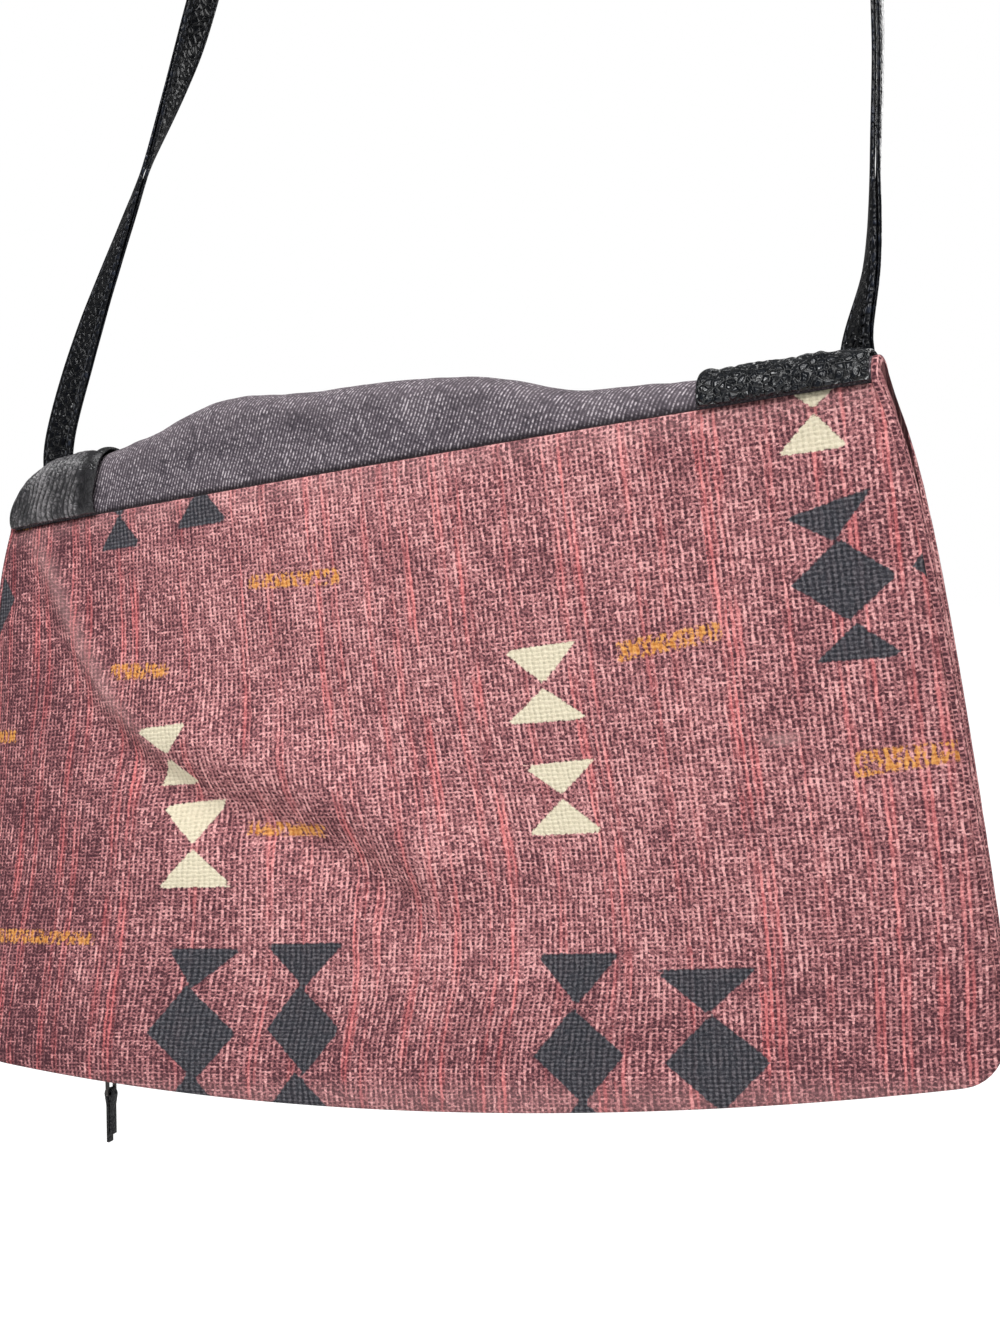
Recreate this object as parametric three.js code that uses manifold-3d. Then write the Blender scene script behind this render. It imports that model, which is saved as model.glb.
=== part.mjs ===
// Fold-over crossbody bag: printed canvas flap, denim top band and back, leather corners and strap.
// Millimetres, +Z up. Origin under the crown of the strap, where the bag hangs. -Y is the front.
import * as THREE from 'three';
import Module from 'manifold-3d';
import { mergeVertices } from 'three/addons/utils/BufferGeometryUtils.js';

// Bag outline, in the flat of the panels: u to the viewer's right, v up from the seam of the band
const foldHalfRight = 154;
const foldHalfLeft = 157;
const shoulderFlareRight = 5.5;
const shoulderFlareLeft = 8;
const shoulderLength = 20;
const sideTaperRight = 0.055;
const sideTaperLeft = 0.075;
const flapDepth = 198.6;
const hemCornerRadius = 12;
const bodyShorterBy = 12;
const foldCrest = [
  [-160, 7], [-150, 14], [-134, 19.6], [-108, 20.8], [-84, 24], [-58, 29.5], [-20, 26.5],
  [18, 24], [48, 19], [70, 12], [90, 10], [125, 8.2], [156, 8.6],
];

// Walls and the room between them
const canvasWall = 0.9;
const innerWall = 0.8;
const liningWall = 0.4;
const leatherWall = 1.1;
const layerGap = 0.35;
const leatherGap = 0.55;
const strapGap = 0.85;
const seamGap = 0.35;
const foldRadius = 7;
const innerFoldRadius = 1.1;
const bodyGap = 1.5;
const backBelly = 8;
const edgeCloseWidth = 16;

// Hem of the flap and the zip in it
const hemTurnGap = 0.5;
const hemTurnHeight = 8;
const zipRadius = 1080;
const zipLean = THREE.MathUtils.degToRad(41.8);
const zipLowestU = 25;
const zipRecess = 3.4;
const slotHalf = 4.6;
const tapeWall = 0.5;
const tapeHeight = 7;
const tapeInsetLeft = 16;
const tapeInsetRight = 10;
const tapeFrom = tapeInsetLeft - foldHalfLeft;
const tapeTo = foldHalfRight - tapeInsetRight;
const teethPitch = 5;
const toothWidth = 2.4;
const toothLength = 1.2;
const toothThickness = 1.6;
const teethBead = 0.5;
const rowHalfGap = 0.75;
const sliderFromTapeEnd = 19;
const sliderU = tapeFrom + sliderFromTapeEnd;
const sliderClearance = 0.4;
const stopLength = 2.6;
const stopGap = 0.4;
const stopOverlap = 0.4;
const teethEndInset = 8;

// Slider, pull and thong
const sliderLength = 10.5;
const sliderHalfWidth = 3.3;
const sliderRearHalfWidth = 2.7;
const plateWall = 0.9;
const plateClearance = 0.35;
const postHalfWidth = 0.42;
const postLength = 3;
const bailLength = 6.6;
const bailWidth = 1.8;
const bailWall = 0.8;
const bailInside = 1.9;
const bailCorner = 1;
const bailFoot = 0.2;
const plateCorner = 1.4;
const plateRearCorner = 0.7;
const plateNotch = 0.7;
const postInset = 1;
const lipInset = 0.1;
const pullWire = 1.1;
const pullWindow = 5.4;
const pullCorner = 0.6;
const pullClearance = 0.4;
const thongWall = 1.1;
const thongWidth = 2.4;
const thongLength = 17;
const thongShorterLeg = 3;
const thongLegGap = 0.4;
const thongBendDrop = 4;

// How the bag hangs
const bagTilt = THREE.MathUtils.degToRad(6.5);
const bagTwist = THREE.MathUtils.degToRad(4.5);
const twistAboveHem = 16.6;
const twistDepth = flapDepth - twistAboveHem;
const crown = new THREE.Vector3(14, 92, 560);

// Strap
const strapWidth = 13;
const footInsetLeft = 10;
const footInsetRight = 8;
const strapPly = 1.35;
const strapPlyGap = 0.3;
const strapSewnLength = 26;
const crownRadius = 62;
const crownFlat = 12;

// Leather corners
const leftCornerWidth = 47;
const rightCornerWidth = 46;
const cornerBackLength = 34;
const cornerRoll = 0.9;
const rollWidth = 0.07;
const gathers = { height: 1.5, pleats: 2.5, fan: 0.12, fadeIn: 0.12, rollAt: 0.93 };
const wrinkles = { height: 0.6, waves: 3.5, lean: 3, rollAt: 0.06 };
const strapBed = { from: 0.42, fade: 0.26 };

// Side strips and welt
const stripHalfWidth = 0.8;
const stripProud = 0.3;
const weltHalfHeight = 1.3;

// Drape of the flap: a soft crease from the upper left to the hem, and a belly at the lower right
const crease = {
  start: new THREE.Vector2(-108, -25),
  fall: THREE.MathUtils.degToRad(40.6),
  fadeIn: [-20, 45],
  fadeOut: [175, 50],
  ridges: [[26, 2.2, 18], [0, -1.4, 13], [-34, 2.4, 26]],
};
const flapBelly = { u: 85, v: -120, height: 2, halfWidth: 60, halfDepth: 50 };
const seamWaves = { v: -16, height: 0.5, reach: 16, length: 14, fadeIn: 6 };
const drapeFade = { top: 20, hem: 14, hemReach: 26 };

// Stations of the mesh
const columnCount = 16;
const edgeBias = 0.65;
const flapStations = [0.15, 0.26, 0.38, 0.5, 0.62, 0.74, 0.85, 0.93];
const bodyStations = [0, 0.08, 0.24, 0.46, 0.68, 0.88, 1];
const foldSteps = 6;
const hemTurnSteps = 3;

const stackHalf = (2 * liningWall + canvasWall + innerWall + 3 * layerGap) / 2;
const hemStackExtra = 1.2;
const canvasHemThickness = 2 * canvasWall + hemTurnGap;
const innerHemThickness = 2 * innerWall + hemTurnGap;
const slotFront = foldRadius - canvasHemThickness;
const slotBack = slotFront - 2 * slotHalf;
const flapBack = slotBack - innerHemThickness;
const zipW = slotFront - slotHalf;
const flapMiddle = (foldRadius + flapBack) / 2;
const foldMiddle = (foldRadius + innerFoldRadius) / 2;
const bodyMiddle = -flapBack + bodyGap + stackHalf;

const mix = THREE.MathUtils.lerp;
const clamp = THREE.MathUtils.clamp;
const ease = (x) => {
  const t = clamp(x, 0, 1);
  return t * t * (3 - 2 * t);
};
const bump = (x, width) => Math.exp(-((x / width) ** 2));

// The faces of the cloth layers, from the outside of the bag to its inside, by how far each lies
// from the middle of the fold, from the flap's front, and from the middle of the pressed stack
function layerFaces() {
  const faces = {};
  const addPair = (name, outerFold, outerFlap, outerStack, wall, side) => {
    faces[name] = {
      outer: { fold: outerFold, flap: outerFlap, stack: outerStack, side },
      inner: { fold: outerFold - wall, flap: outerFlap - wall, stack: outerStack - wall, side },
    };
  };
  addPair('canvas', foldRadius, foldRadius, stackHalf, canvasWall, 1);
  const liningOffset = canvasWall + layerGap;
  addPair('outerLining', foldRadius - liningOffset, foldRadius - liningOffset,
    stackHalf - liningOffset, liningWall, 1);
  addPair('innerPanel', innerFoldRadius + innerWall, flapBack + innerWall,
    -stackHalf + innerWall, innerWall, -1);
  const innerOffset = innerWall + layerGap + liningWall;
  addPair('innerLining', innerFoldRadius + innerOffset, flapBack + innerOffset,
    -stackHalf + innerOffset, liningWall, -1);
  return faces;
}
const faces = layerFaces();

const crestCurve = new THREE.CatmullRomCurve3(
  foldCrest.map(([u, v]) => new THREE.Vector3(u, v, 0)), false, 'centripetal');
const crestPoints = crestCurve.getPoints(160);

function crestHeight(u) {
  const next = crestPoints.findIndex((p) => p.x >= u);
  if (next <= 0) {
    return next === 0 ? crestPoints[0].y : crestPoints.at(-1).y;
  }
  const a = crestPoints[next - 1];
  const b = crestPoints[next];
  return mix(a.y, b.y, (u - a.x) / (b.x - a.x));
}

function rightEdge(v) {
  const depth = Math.max(0, -v);
  const flare = shoulderFlareRight * (1 - Math.exp(-depth / shoulderLength));
  return foldHalfRight + flare + sideTaperRight * depth;
}

function leftEdge(v) {
  const depth = Math.max(0, -v);
  const flare = shoulderFlareLeft * (1 - Math.exp(-depth / shoulderLength));
  return -foldHalfLeft - flare - sideTaperLeft * depth;
}

const sag = (u) => zipRadius - Math.sqrt(zipRadius ** 2 - (u - zipLowestU) ** 2);

function hemHeight(u, fromEdge) {
  const inCorner = Math.max(0, hemCornerRadius - fromEdge);
  const corner = hemCornerRadius - Math.sqrt(Math.max(0, hemCornerRadius ** 2 - inCorner ** 2));
  return -flapDepth + sag(u) * Math.cos(zipLean) + corner;
}

// A point of the bag: u across, v up, w out of the middle of the fold towards the front
function place(u, v, w) {
  const turn = bagTwist * clamp(-1 + (2 * -v) / twistDepth, -1, 1);
  const back = sag(u) * Math.sin(zipLean) - w + foldRadius;
  return new THREE.Vector3(
    u * Math.cos(turn) - back * Math.sin(turn),
    u * Math.sin(turn) + back * Math.cos(turn),
    v);
}

function flapRelief(u, v) {
  const offset = new THREE.Vector2(u, v).sub(crease.start).rotateAround(new THREE.Vector2(), crease.fall);
  const fade = ease((offset.x - crease.fadeIn[0]) / crease.fadeIn[1])
    * ease((crease.fadeOut[0] - offset.x) / crease.fadeOut[1]);
  const folds = crease.ridges.reduce(
    (sum, [at, height, width]) => sum + height * bump(offset.y - at, width), 0);
  const belly = flapBelly.height * bump(u - flapBelly.u, flapBelly.halfWidth)
    * bump(v - flapBelly.v, flapBelly.halfDepth);
  const waves = seamWaves.height * bump(v - seamWaves.v, seamWaves.reach) * Math.sin(u / seamWaves.length);
  const insideEdges = ease(-v / drapeFade.top) * ease((v + flapDepth - drapeFade.hem) / drapeFade.hemReach);
  return insideEdges * (fade * folds + belly) + waves * ease(-v / seamWaves.fadeIn);
}

function columnAt(step, count = columnCount) {
  const s = step / count;
  return mix(s, (1 - Math.cos(Math.PI * s)) / 2, edgeBias);
}

function foldCentre(a) {
  return crestHeight(mix(leftEdge(0), rightEdge(0), a)) - foldRadius;
}

function flapEnd(a) {
  const v = -flapDepth + hemCornerRadius;
  const u = mix(leftEdge(v), rightEdge(v), a);
  return hemHeight(u, Math.min(u - leftEdge(v), rightEdge(v) - u));
}

const bodyEnd = (a) => flapEnd(a) + bodyShorterBy;
const acrossAt = (a, v) => mix(leftEdge(v), rightEdge(v), a);
// From 0 at the side edge, where the layers are pressed together, to 1 where the bag is open
function closureAt(u, v) {
  const fromEdge = Math.min(u - leftEdge(v), rightEdge(v) - u);
  return Math.sin((Math.PI / 2) * clamp(fromEdge / edgeCloseWidth, 0, 1));
}

// How far out a face lies at a station of the section
function flapOut(face, a, q) {
  const v = mix(foldCentre(a), flapEnd(a), q);
  const u = acrossAt(a, v);
  const open = mix(face.fold, face.flap, ease(q)) + (face.side > 0 ? flapRelief(u, v) : 0);
  const pressed = mix(foldMiddle, flapMiddle, ease(q)) + face.stack + face.side * hemStackExtra * ease(q);
  return mix(pressed, open, closureAt(u, v));
}

function foldOut(face, a) {
  const u = acrossAt(a, 0);
  return mix(foldMiddle + face.stack, face.fold, closureAt(u, 0));
}

function bodyOut(face, a, q) {
  const v = mix(foldCentre(a), bodyEnd(a), q);
  const pressed = mix(foldMiddle, bodyMiddle, ease(q)) + face.stack;
  const belly = face.side > 0 ? backBelly * Math.sin(Math.PI * clamp(q, 0, 1)) : 0;
  const open = mix(face.fold, bodyMiddle + face.stack, ease(q)) + belly;
  return mix(pressed, open, closureAt(acrossAt(a, v), v));
}

const onFlap = (face, a, q, extra = 0) => {
  const v = mix(foldCentre(a), flapEnd(a), q);
  return place(acrossAt(a, v), v, flapOut(face, a, q) + extra);
};
const onFold = (face, a, angle, extra = 0) => {
  const r = foldOut(face, a) + extra;
  return place(acrossAt(a, 0), foldCentre(a) + r * Math.sin(angle), r * Math.cos(angle));
};
const onBody = (face, a, q, extra = 0) => {
  const v = mix(foldCentre(a), bodyEnd(a), q);
  return place(acrossAt(a, v), v, -bodyOut(face, a, q) - extra);
};

// Closed solid from quads and triangles over shared points, with its faces turned outwards
function closedGeometry(points, polygons) {
  let volume = 0;
  const index = [];
  for (const polygon of polygons) {
    for (let k = 2; k < polygon.length; k += 1) {
      const [a, b, c] = [polygon[0], polygon[k - 1], polygon[k]];
      index.push(a, b, c);
      volume += points[a].dot(new THREE.Vector3().crossVectors(points[b], points[c]));
    }
  }
  if (volume < 0) {
    index.reverse();
  }
  const geometry = new THREE.BufferGeometry().setFromPoints(points);
  geometry.setIndex(index);
  geometry.computeVertexNormals();
  return geometry;
}

// Sheet between an outer and an inner grid of points, rows by columns
function sheetGeometry(outer, inner) {
  const rows = outer.length;
  const columns = outer[0].length;
  const points = [...outer.flat(), ...inner.flat()];
  const at = (side, r, c) => side * rows * columns + r * columns + c;
  const polygons = [];
  for (let r = 0; r + 1 < rows; r += 1) {
    for (let c = 0; c + 1 < columns; c += 1) {
      polygons.push([at(0, r, c), at(0, r, c + 1), at(0, r + 1, c + 1), at(0, r + 1, c)]);
      polygons.push([at(1, r, c), at(1, r + 1, c), at(1, r + 1, c + 1), at(1, r, c + 1)]);
    }
    const last = columns - 1;
    polygons.push([at(0, r, 0), at(0, r + 1, 0), at(1, r + 1, 0), at(1, r, 0)]);
    polygons.push([at(0, r, last), at(1, r, last), at(1, r + 1, last), at(0, r + 1, last)]);
  }
  for (let c = 0; c + 1 < columns; c += 1) {
    const last = rows - 1;
    polygons.push([at(0, 0, c), at(1, 0, c), at(1, 0, c + 1), at(0, 0, c + 1)]);
    polygons.push([at(0, last, c), at(0, last, c + 1), at(1, last, c + 1), at(1, last, c)]);
  }
  return closedGeometry(points, polygons);
}

// Solid through a row of closed rings with the same number of points
function ringsGeometry(rings) {
  const size = rings[0].length;
  const points = rings.flat();
  const polygons = [];
  for (let r = 0; r + 1 < rings.length; r += 1) {
    for (let k = 0; k < size; k += 1) {
      const next = (k + 1) % size;
      polygons.push([r * size + k, r * size + next, (r + 1) * size + next, (r + 1) * size + k]);
    }
  }
  const top = (rings.length - 1) * size;
  polygons.push([...Array(size).keys()].reverse());
  polygons.push([...Array(size).keys()].map((k) => top + k));
  return closedGeometry(points, polygons);
}

function material(color, roughness, metalness = 0) {
  return new THREE.MeshStandardMaterial({ color, roughness, metalness });
}
const printedCanvas = () => material('#8a4a4e', 0.9);
const denim = () => material('#7d7680', 0.92);
const liningCloth = () => material('#4a4448', 0.95);
const blackLeather = () => material('#1d1b1c', 0.5);
const zipCloth = () => material('#17171a', 0.9);
const darkMetal = () => material('#3a3a3d', 0.35, 1);

function piece(name, geometry, finish) {
  const mesh = new THREE.Mesh(geometry, finish);
  mesh.name = name;
  return mesh;
}

const columns = [...Array(columnCount + 1).keys()].map((step) => columnAt(step));
const foldAngles = [...Array(foldSteps + 1).keys()].map((step) => (Math.PI * step) / foldSteps);

// The turned hem of a panel: the cloth rolls round and runs back up on the inside of the flap
function hemRows(pair, wall, inward) {
  const outerRows = [];
  const innerRows = [];
  const outerRadius = wall + hemTurnGap / 2;
  const innerRadius = hemTurnGap / 2;
  const rowAt = (radius, angle, rise) => columns.map((a) => {
    const surface = inward > 0 ? pair.outer : pair.inner;
    const out = flapOut(surface, a, 1) - inward * outerRadius;
    const v = flapEnd(a) + outerRadius - radius * Math.sin(angle) + rise;
    return place(acrossAt(a, v), v, out + inward * radius * Math.cos(angle));
  });
  for (let step = 1; step <= hemTurnSteps; step += 1) {
    const angle = (Math.PI * step) / hemTurnSteps;
    outerRows.push(rowAt(outerRadius, angle, 0));
    innerRows.push(rowAt(innerRadius, angle, 0));
  }
  outerRows.push(rowAt(outerRadius, Math.PI, hemTurnHeight));
  innerRows.push(rowAt(innerRadius, Math.PI, hemTurnHeight));
  return inward > 0 ? [outerRows, innerRows] : [innerRows, outerRows];
}

// Station just under the point where a hem starts to turn
const beforeTurn = (a, radius) => 1 - radius / (foldCentre(a) - flapEnd(a));

const rowOf = (points) => columns.map(points);
const seamStation = (a, below) => (foldCentre(a) + below) / (foldCentre(a) - flapEnd(a));

// Rows of a face from the flap's hem up to a little under the seam, and from there over the fold to
// the bottom of the body. Every layer has its rows at the same heights, so that they lie evenly
const rowsUpFlap = (face, end) => [end, ...[...flapStations].reverse().map((q) => () => q)]
  .map((qAt) => rowOf((a) => onFlap(face, a, qAt(a))));
const rowsOverFold = (face) => foldAngles.map((angle) => rowOf((a) => onFold(face, a, angle)));
const rowsDownBody = (face) => bodyStations.slice(1).map((q) => rowOf((a) => onBody(face, a, q)));

function flapPanel() {
  const radius = canvasWall + hemTurnGap / 2;
  const rowsAt = (face) => [
    ...rowsUpFlap(face, (a) => beforeTurn(a, radius)),
    rowOf((a) => onFlap(face, a, seamStation(a, seamGap / 2))),
  ];
  const [outerHem, innerHem] = hemRows(faces.canvas, canvasWall, 1).map((rows) => rows.reverse());
  const outer = [...outerHem, ...rowsAt(faces.canvas.outer)];
  const inner = [...innerHem, ...rowsAt(faces.canvas.inner)];
  return piece('flap_panel', sheetGeometry(outer, inner), printedCanvas());
}

function topPanel() {
  const rowsAt = (face) => [
    ...[1, 0.5].map((part) => rowOf((a) => onFlap(face, a, part * seamStation(a, -seamGap / 2)))),
    ...rowsOverFold(face),
    ...rowsDownBody(face),
  ];
  return piece('top_panel', sheetGeometry(rowsAt(faces.canvas.outer), rowsAt(faces.canvas.inner)), denim());
}

function innerPanel() {
  const radius = innerWall + hemTurnGap / 2;
  const pair = faces.innerPanel;
  const rowsAt = (face) => [
    ...rowsUpFlap(face, (a) => beforeTurn(a, radius)),
    rowOf((a) => onFlap(face, a, seamStation(a, 0))),
    ...rowsOverFold(face),
    ...rowsDownBody(face),
  ];
  const [outerHem, innerHem] = hemRows(pair, innerWall, -1).map((rows) => rows.reverse());
  const outer = [...outerHem, ...rowsAt(pair.outer)];
  const inner = [...innerHem, ...rowsAt(pair.inner)];
  return piece('inner_panel', sheetGeometry(outer, inner), denim());
}

function lining(name, pair) {
  const endAbove = zipRecess + tapeHeight + 1;
  const rowsAt = (face) => [
    ...rowsUpFlap(face, (a) => beforeTurn(a, endAbove)),
    rowOf((a) => onFlap(face, a, seamStation(a, 0))),
    ...rowsOverFold(face),
    ...rowsDownBody(face),
  ];
  return piece(name, sheetGeometry(rowsAt(pair.outer), rowsAt(pair.inner)), liningCloth());
}

// Leather corner: wraps the end of the fold from the seam in front to the back of the body. Its relief
// is a height at a place across the corner and a place along it, each from 0 to 1
function leatherCorner(name, fromU, toU, relief) {
  const cornerColumns = 14;
  const foldStart = 0.2;
  const backStart = 0.7;
  const face = faces.canvas.outer;
  const foldLeft = leftEdge(0);
  const foldRight = rightEdge(0);
  const spots = [...Array(cornerColumns + 1).keys()].map((step) => {
    const part = step / cornerColumns;
    return { part, a: (mix(fromU, toU, part) - foldLeft) / (foldRight - foldLeft) };
  });
  const rowsOf = (extra) => {
    const front = [0, 0.5].map((share) => spots.map(({ part, a }) => {
      const seam = (foldCentre(a) - 2 * seamGap) / (foldCentre(a) - flapEnd(a));
      return onFlap(face, a, (1 - share) * seam, extra(part, share * foldStart));
    }));
    const over = foldAngles.map((angle) => spots.map(({ part, a }) => (
      onFold(face, a, angle, extra(part, mix(foldStart, backStart, angle / Math.PI))))));
    const back = [0.33, 0.66, 1].map((share) => spots.map(({ part, a }) => {
      const q = (share * cornerBackLength) / (foldCentre(a) - bodyEnd(a));
      return onBody(face, a, q, extra(part, mix(backStart, 1, share)));
    }));
    return [...front, ...over, ...back];
  };
  const inner = rowsOf(() => leatherGap);
  const outer = rowsOf((part, along) => leatherGap + leatherWall + relief(part, along));
  return piece(name, sheetGeometry(outer, inner), blackLeather());
}

// The leather is flat on the back, where the strap is sewn on
const beforeStrap = (along) => 1 - ease((along - strapBed.from) / strapBed.fade);

// Vertical gathers on the left corner, fanning out from the fold, with a rolled inner edge
function leftGathers(part, along) {
  const fan = part + gathers.fan * Math.sin(Math.PI * along);
  const pleats = 0.5 + 0.5 * Math.sin(fan * gathers.pleats * 2 * Math.PI);
  const fade = Math.sin(Math.PI * mix(0.1, 1, along)) * ease(part / gathers.fadeIn);
  const roll = cornerRoll * bump(part - gathers.rollAt, rollWidth);
  return (gathers.height * pleats * fade + roll) * beforeStrap(along);
}

// Finer wrinkles on the right corner, with the same rolled inner edge
function rightWrinkles(part, along) {
  const waves = 0.5 + 0.5 * Math.sin(part * wrinkles.waves * 2 * Math.PI + wrinkles.lean * along);
  const roll = cornerRoll * bump(part - wrinkles.rollAt, rollWidth);
  return (wrinkles.height * waves * Math.sin(Math.PI * along) + roll) * beforeStrap(along);
}

// Reach of an octagon's corners past its sides, for rolled edges eight sides round
const octagonAngles = [...Array(8).keys()].map((k) => (Math.PI * (2 * k + 1)) / 8);
const octagonReach = 1 / Math.cos(Math.PI / 8);

// Rolled side strip round the edge of the bag, from the hem corner over the fold to the bottom
function sideStrip(name, a, outward) {
  const ringAt = (u, v, middle, half, direction) => {
    const centreU = u + outward * (layerGap + stripHalfWidth);
    return octagonAngles.map((angle) => {
      const du = stripHalfWidth * octagonReach * Math.cos(angle);
      const out = middle + half * octagonReach * Math.sin(angle);
      return place(centreU + du, v + out * direction.up, out * direction.out);
    });
  };
  const flapRings = [1, ...[...flapStations].reverse()].map((q) => {
    const v = mix(foldCentre(a), flapEnd(a), q);
    const half = stackHalf + hemStackExtra * ease(q) + stripProud;
    return ringAt(acrossAt(a, v), v, mix(foldMiddle, flapMiddle, ease(q)), half, { up: 0, out: 1 });
  });
  const foldRings = foldAngles.map((angle) => ringAt(acrossAt(a, 0), foldCentre(a), foldMiddle,
    stackHalf + stripProud, { up: Math.sin(angle), out: Math.cos(angle) }));
  const bodyRings = bodyStations.slice(1).map((q) => {
    const v = mix(foldCentre(a), bodyEnd(a), q);
    return ringAt(acrossAt(a, v), v, mix(foldMiddle, bodyMiddle, ease(q)), stackHalf + stripProud,
      { up: 0, out: -1 });
  });
  return piece(name, ringsGeometry([...flapRings, ...foldRings, ...bodyRings]), printedCanvas());
}

// Welt that closes the bottom of the body
function bottomWelt() {
  const rings = columns.map((a) => {
    const v = bodyEnd(a) - layerGap - weltHalfHeight;
    return octagonAngles.map((angle) => place(
      acrossAt(a, v),
      v + weltHalfHeight * octagonReach * Math.cos(angle),
      -bodyMiddle + (stackHalf + stripProud) * octagonReach * Math.sin(angle)));
  });
  return piece('bottom_welt', ringsGeometry(rings), denim());
}

// The zip lies on a circle. Its own frame has x along it at its lowest point, -y out, z up
const zipCentre = new THREE.Vector3(0, zipRadius * Math.sin(zipLean), zipRadius * Math.cos(zipLean));
const zipAxis = new THREE.Vector3(0, -Math.cos(zipLean), Math.sin(zipLean));
const zipAngle = (u) => Math.asin((u - zipLowestU) / zipRadius);

function alongZip(angle, y, z) {
  return new THREE.Vector3(0, y, z).sub(zipCentre).applyAxisAngle(zipAxis, angle).add(zipCentre);
}

function zipGroup() {
  const group = new THREE.Group();
  group.position.copy(place(zipLowestU, -flapDepth, zipW)).setZ(-flapDepth + zipRecess);
  group.rotation.z = bagTwist;
  return group;
}

function zipTape(name, side) {
  const steps = 24;
  const nearTeeth = rowHalfGap + toothLength + teethBead + layerGap;
  const wallAt = slotHalf - layerGap;
  const half = tapeWall / 2;
  const section = [
    [nearTeeth, -half], [wallAt - half, -half], [wallAt, 0], [wallAt, tapeHeight],
    [wallAt - tapeWall, tapeHeight], [wallAt - tapeWall, half], [nearTeeth, half],
  ];
  const rings = [...Array(steps + 1).keys()].map((step) => {
    const angle = mix(zipAngle(tapeFrom), zipAngle(tapeTo), step / steps);
    return section.map(([y, z]) => alongZip(angle, side * y, z));
  });
  return piece(name, ringsGeometry(rings), zipCloth());
}

const sliderEnd = (sliderLength / 2 + sliderClearance) / zipRadius;
const sliderAngle = zipAngle(sliderU);
const teethStart = sliderAngle - sliderEnd;
const teethEnd = zipAngle(tapeTo - teethEndInset);

// Row of teeth on its bead, as one comb. The two rows are staggered by half a pitch
function zipTeeth(name, side, stagger) {
  const root = rowHalfGap + toothLength;
  const pitch = teethPitch / zipRadius;
  const width = toothWidth / zipRadius;
  const count = Math.floor((teethEnd - teethStart) / pitch - stagger);
  const levels = [-toothThickness / 2, toothThickness / 2];
  const points = [];
  const addPair = (angle, y) => {
    points.push(...levels.map((z) => alongZip(angle, side * y, z)));
    return [points.length - 2, points.length - 1];
  };
  const polygons = [];
  let before = null;
  for (let tooth = 0; tooth < count; tooth += 1) {
    const from = teethStart + (tooth + stagger) * pitch;
    const [startRoot, endRoot] = [addPair(from, root), addPair(from + width, root)];
    const bead = root + teethBead;
    const [startBead, endBead] = [addPair(from, bead), addPair(from + width, bead)];
    const [startTip, endTip] = [addPair(from, rowHalfGap), addPair(from + width, rowHalfGap)];
    const addBead = (r0, r1, b0, b1) => {
      polygons.push([r0[1], r1[1], b1[1], b0[1]], [r0[0], b0[0], b1[0], r1[0]]);
      polygons.push([b0[1], b1[1], b1[0], b0[0]]);
    };
    if (before) {
      addBead(before.root, startRoot, before.bead, startBead);
      polygons.push([before.root[0], startRoot[0], startRoot[1], before.root[1]]);
    } else {
      polygons.push([startRoot[0], startRoot[1], startBead[1], startBead[0]]);
    }
    addBead(startRoot, endRoot, startBead, endBead);
    polygons.push([startTip[1], endTip[1], endRoot[1], startRoot[1]]);
    polygons.push([startTip[0], startRoot[0], endRoot[0], endTip[0]]);
    polygons.push([startTip[0], endTip[0], endTip[1], startTip[1]]);
    polygons.push([startTip[0], startTip[1], startRoot[1], startRoot[0]]);
    polygons.push([endTip[0], endRoot[0], endRoot[1], endTip[1]]);
    before = { root: endRoot, bead: endBead };
  }
  polygons.push([before.root[0], before.bead[0], before.bead[1], before.root[1]]);
  return piece(name, closedGeometry(points, polygons), darkMetal());
}

// Block clamped over the end of one row of teeth, or over both
function zipStop(name, angle, fromY, toY) {
  const halfHeight = toothThickness / 2 + stopOverlap;
  const half = stopLength / 2 / zipRadius;
  const ring = (at) => [[fromY, -halfHeight], [toY, -halfHeight], [toY, halfHeight], [fromY, halfHeight]]
    .map(([y, z]) => alongZip(at, y, z));
  return piece(name, ringsGeometry([ring(angle - half), ring(angle + half)]), darkMetal());
}

const wasm = await Module();
wasm.setup();

function solidOf(geometry) {
  const bare = geometry.clone();
  bare.deleteAttribute('normal');
  bare.deleteAttribute('uv');
  const merged = mergeVertices(bare, 1e-4);
  const mesh = new wasm.Mesh({
    numProp: 3,
    vertProperties: new Float32Array(merged.attributes.position.array),
    triVerts: new Uint32Array(merged.index.array),
  });
  return new wasm.Manifold(mesh);
}

function geometryOf(solid) {
  const { vertProperties, triVerts } = solid.getMesh();
  const geometry = new THREE.BufferGeometry();
  geometry.setAttribute('position', new THREE.Float32BufferAttribute(vertProperties, 3));
  geometry.setIndex([...triVerts]);
  geometry.computeVertexNormals();
  return geometry;
}

function extrude(shape, depth) {
  return new THREE.ExtrudeGeometry(shape, { depth, bevelEnabled: false, curveSegments: 5 });
}

// Slider: two plates over and under the teeth, joined by the post between the rows, and a bail
const plateInside = toothThickness / 2 + plateClearance;
const plateOutside = plateInside + plateWall;

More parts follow.
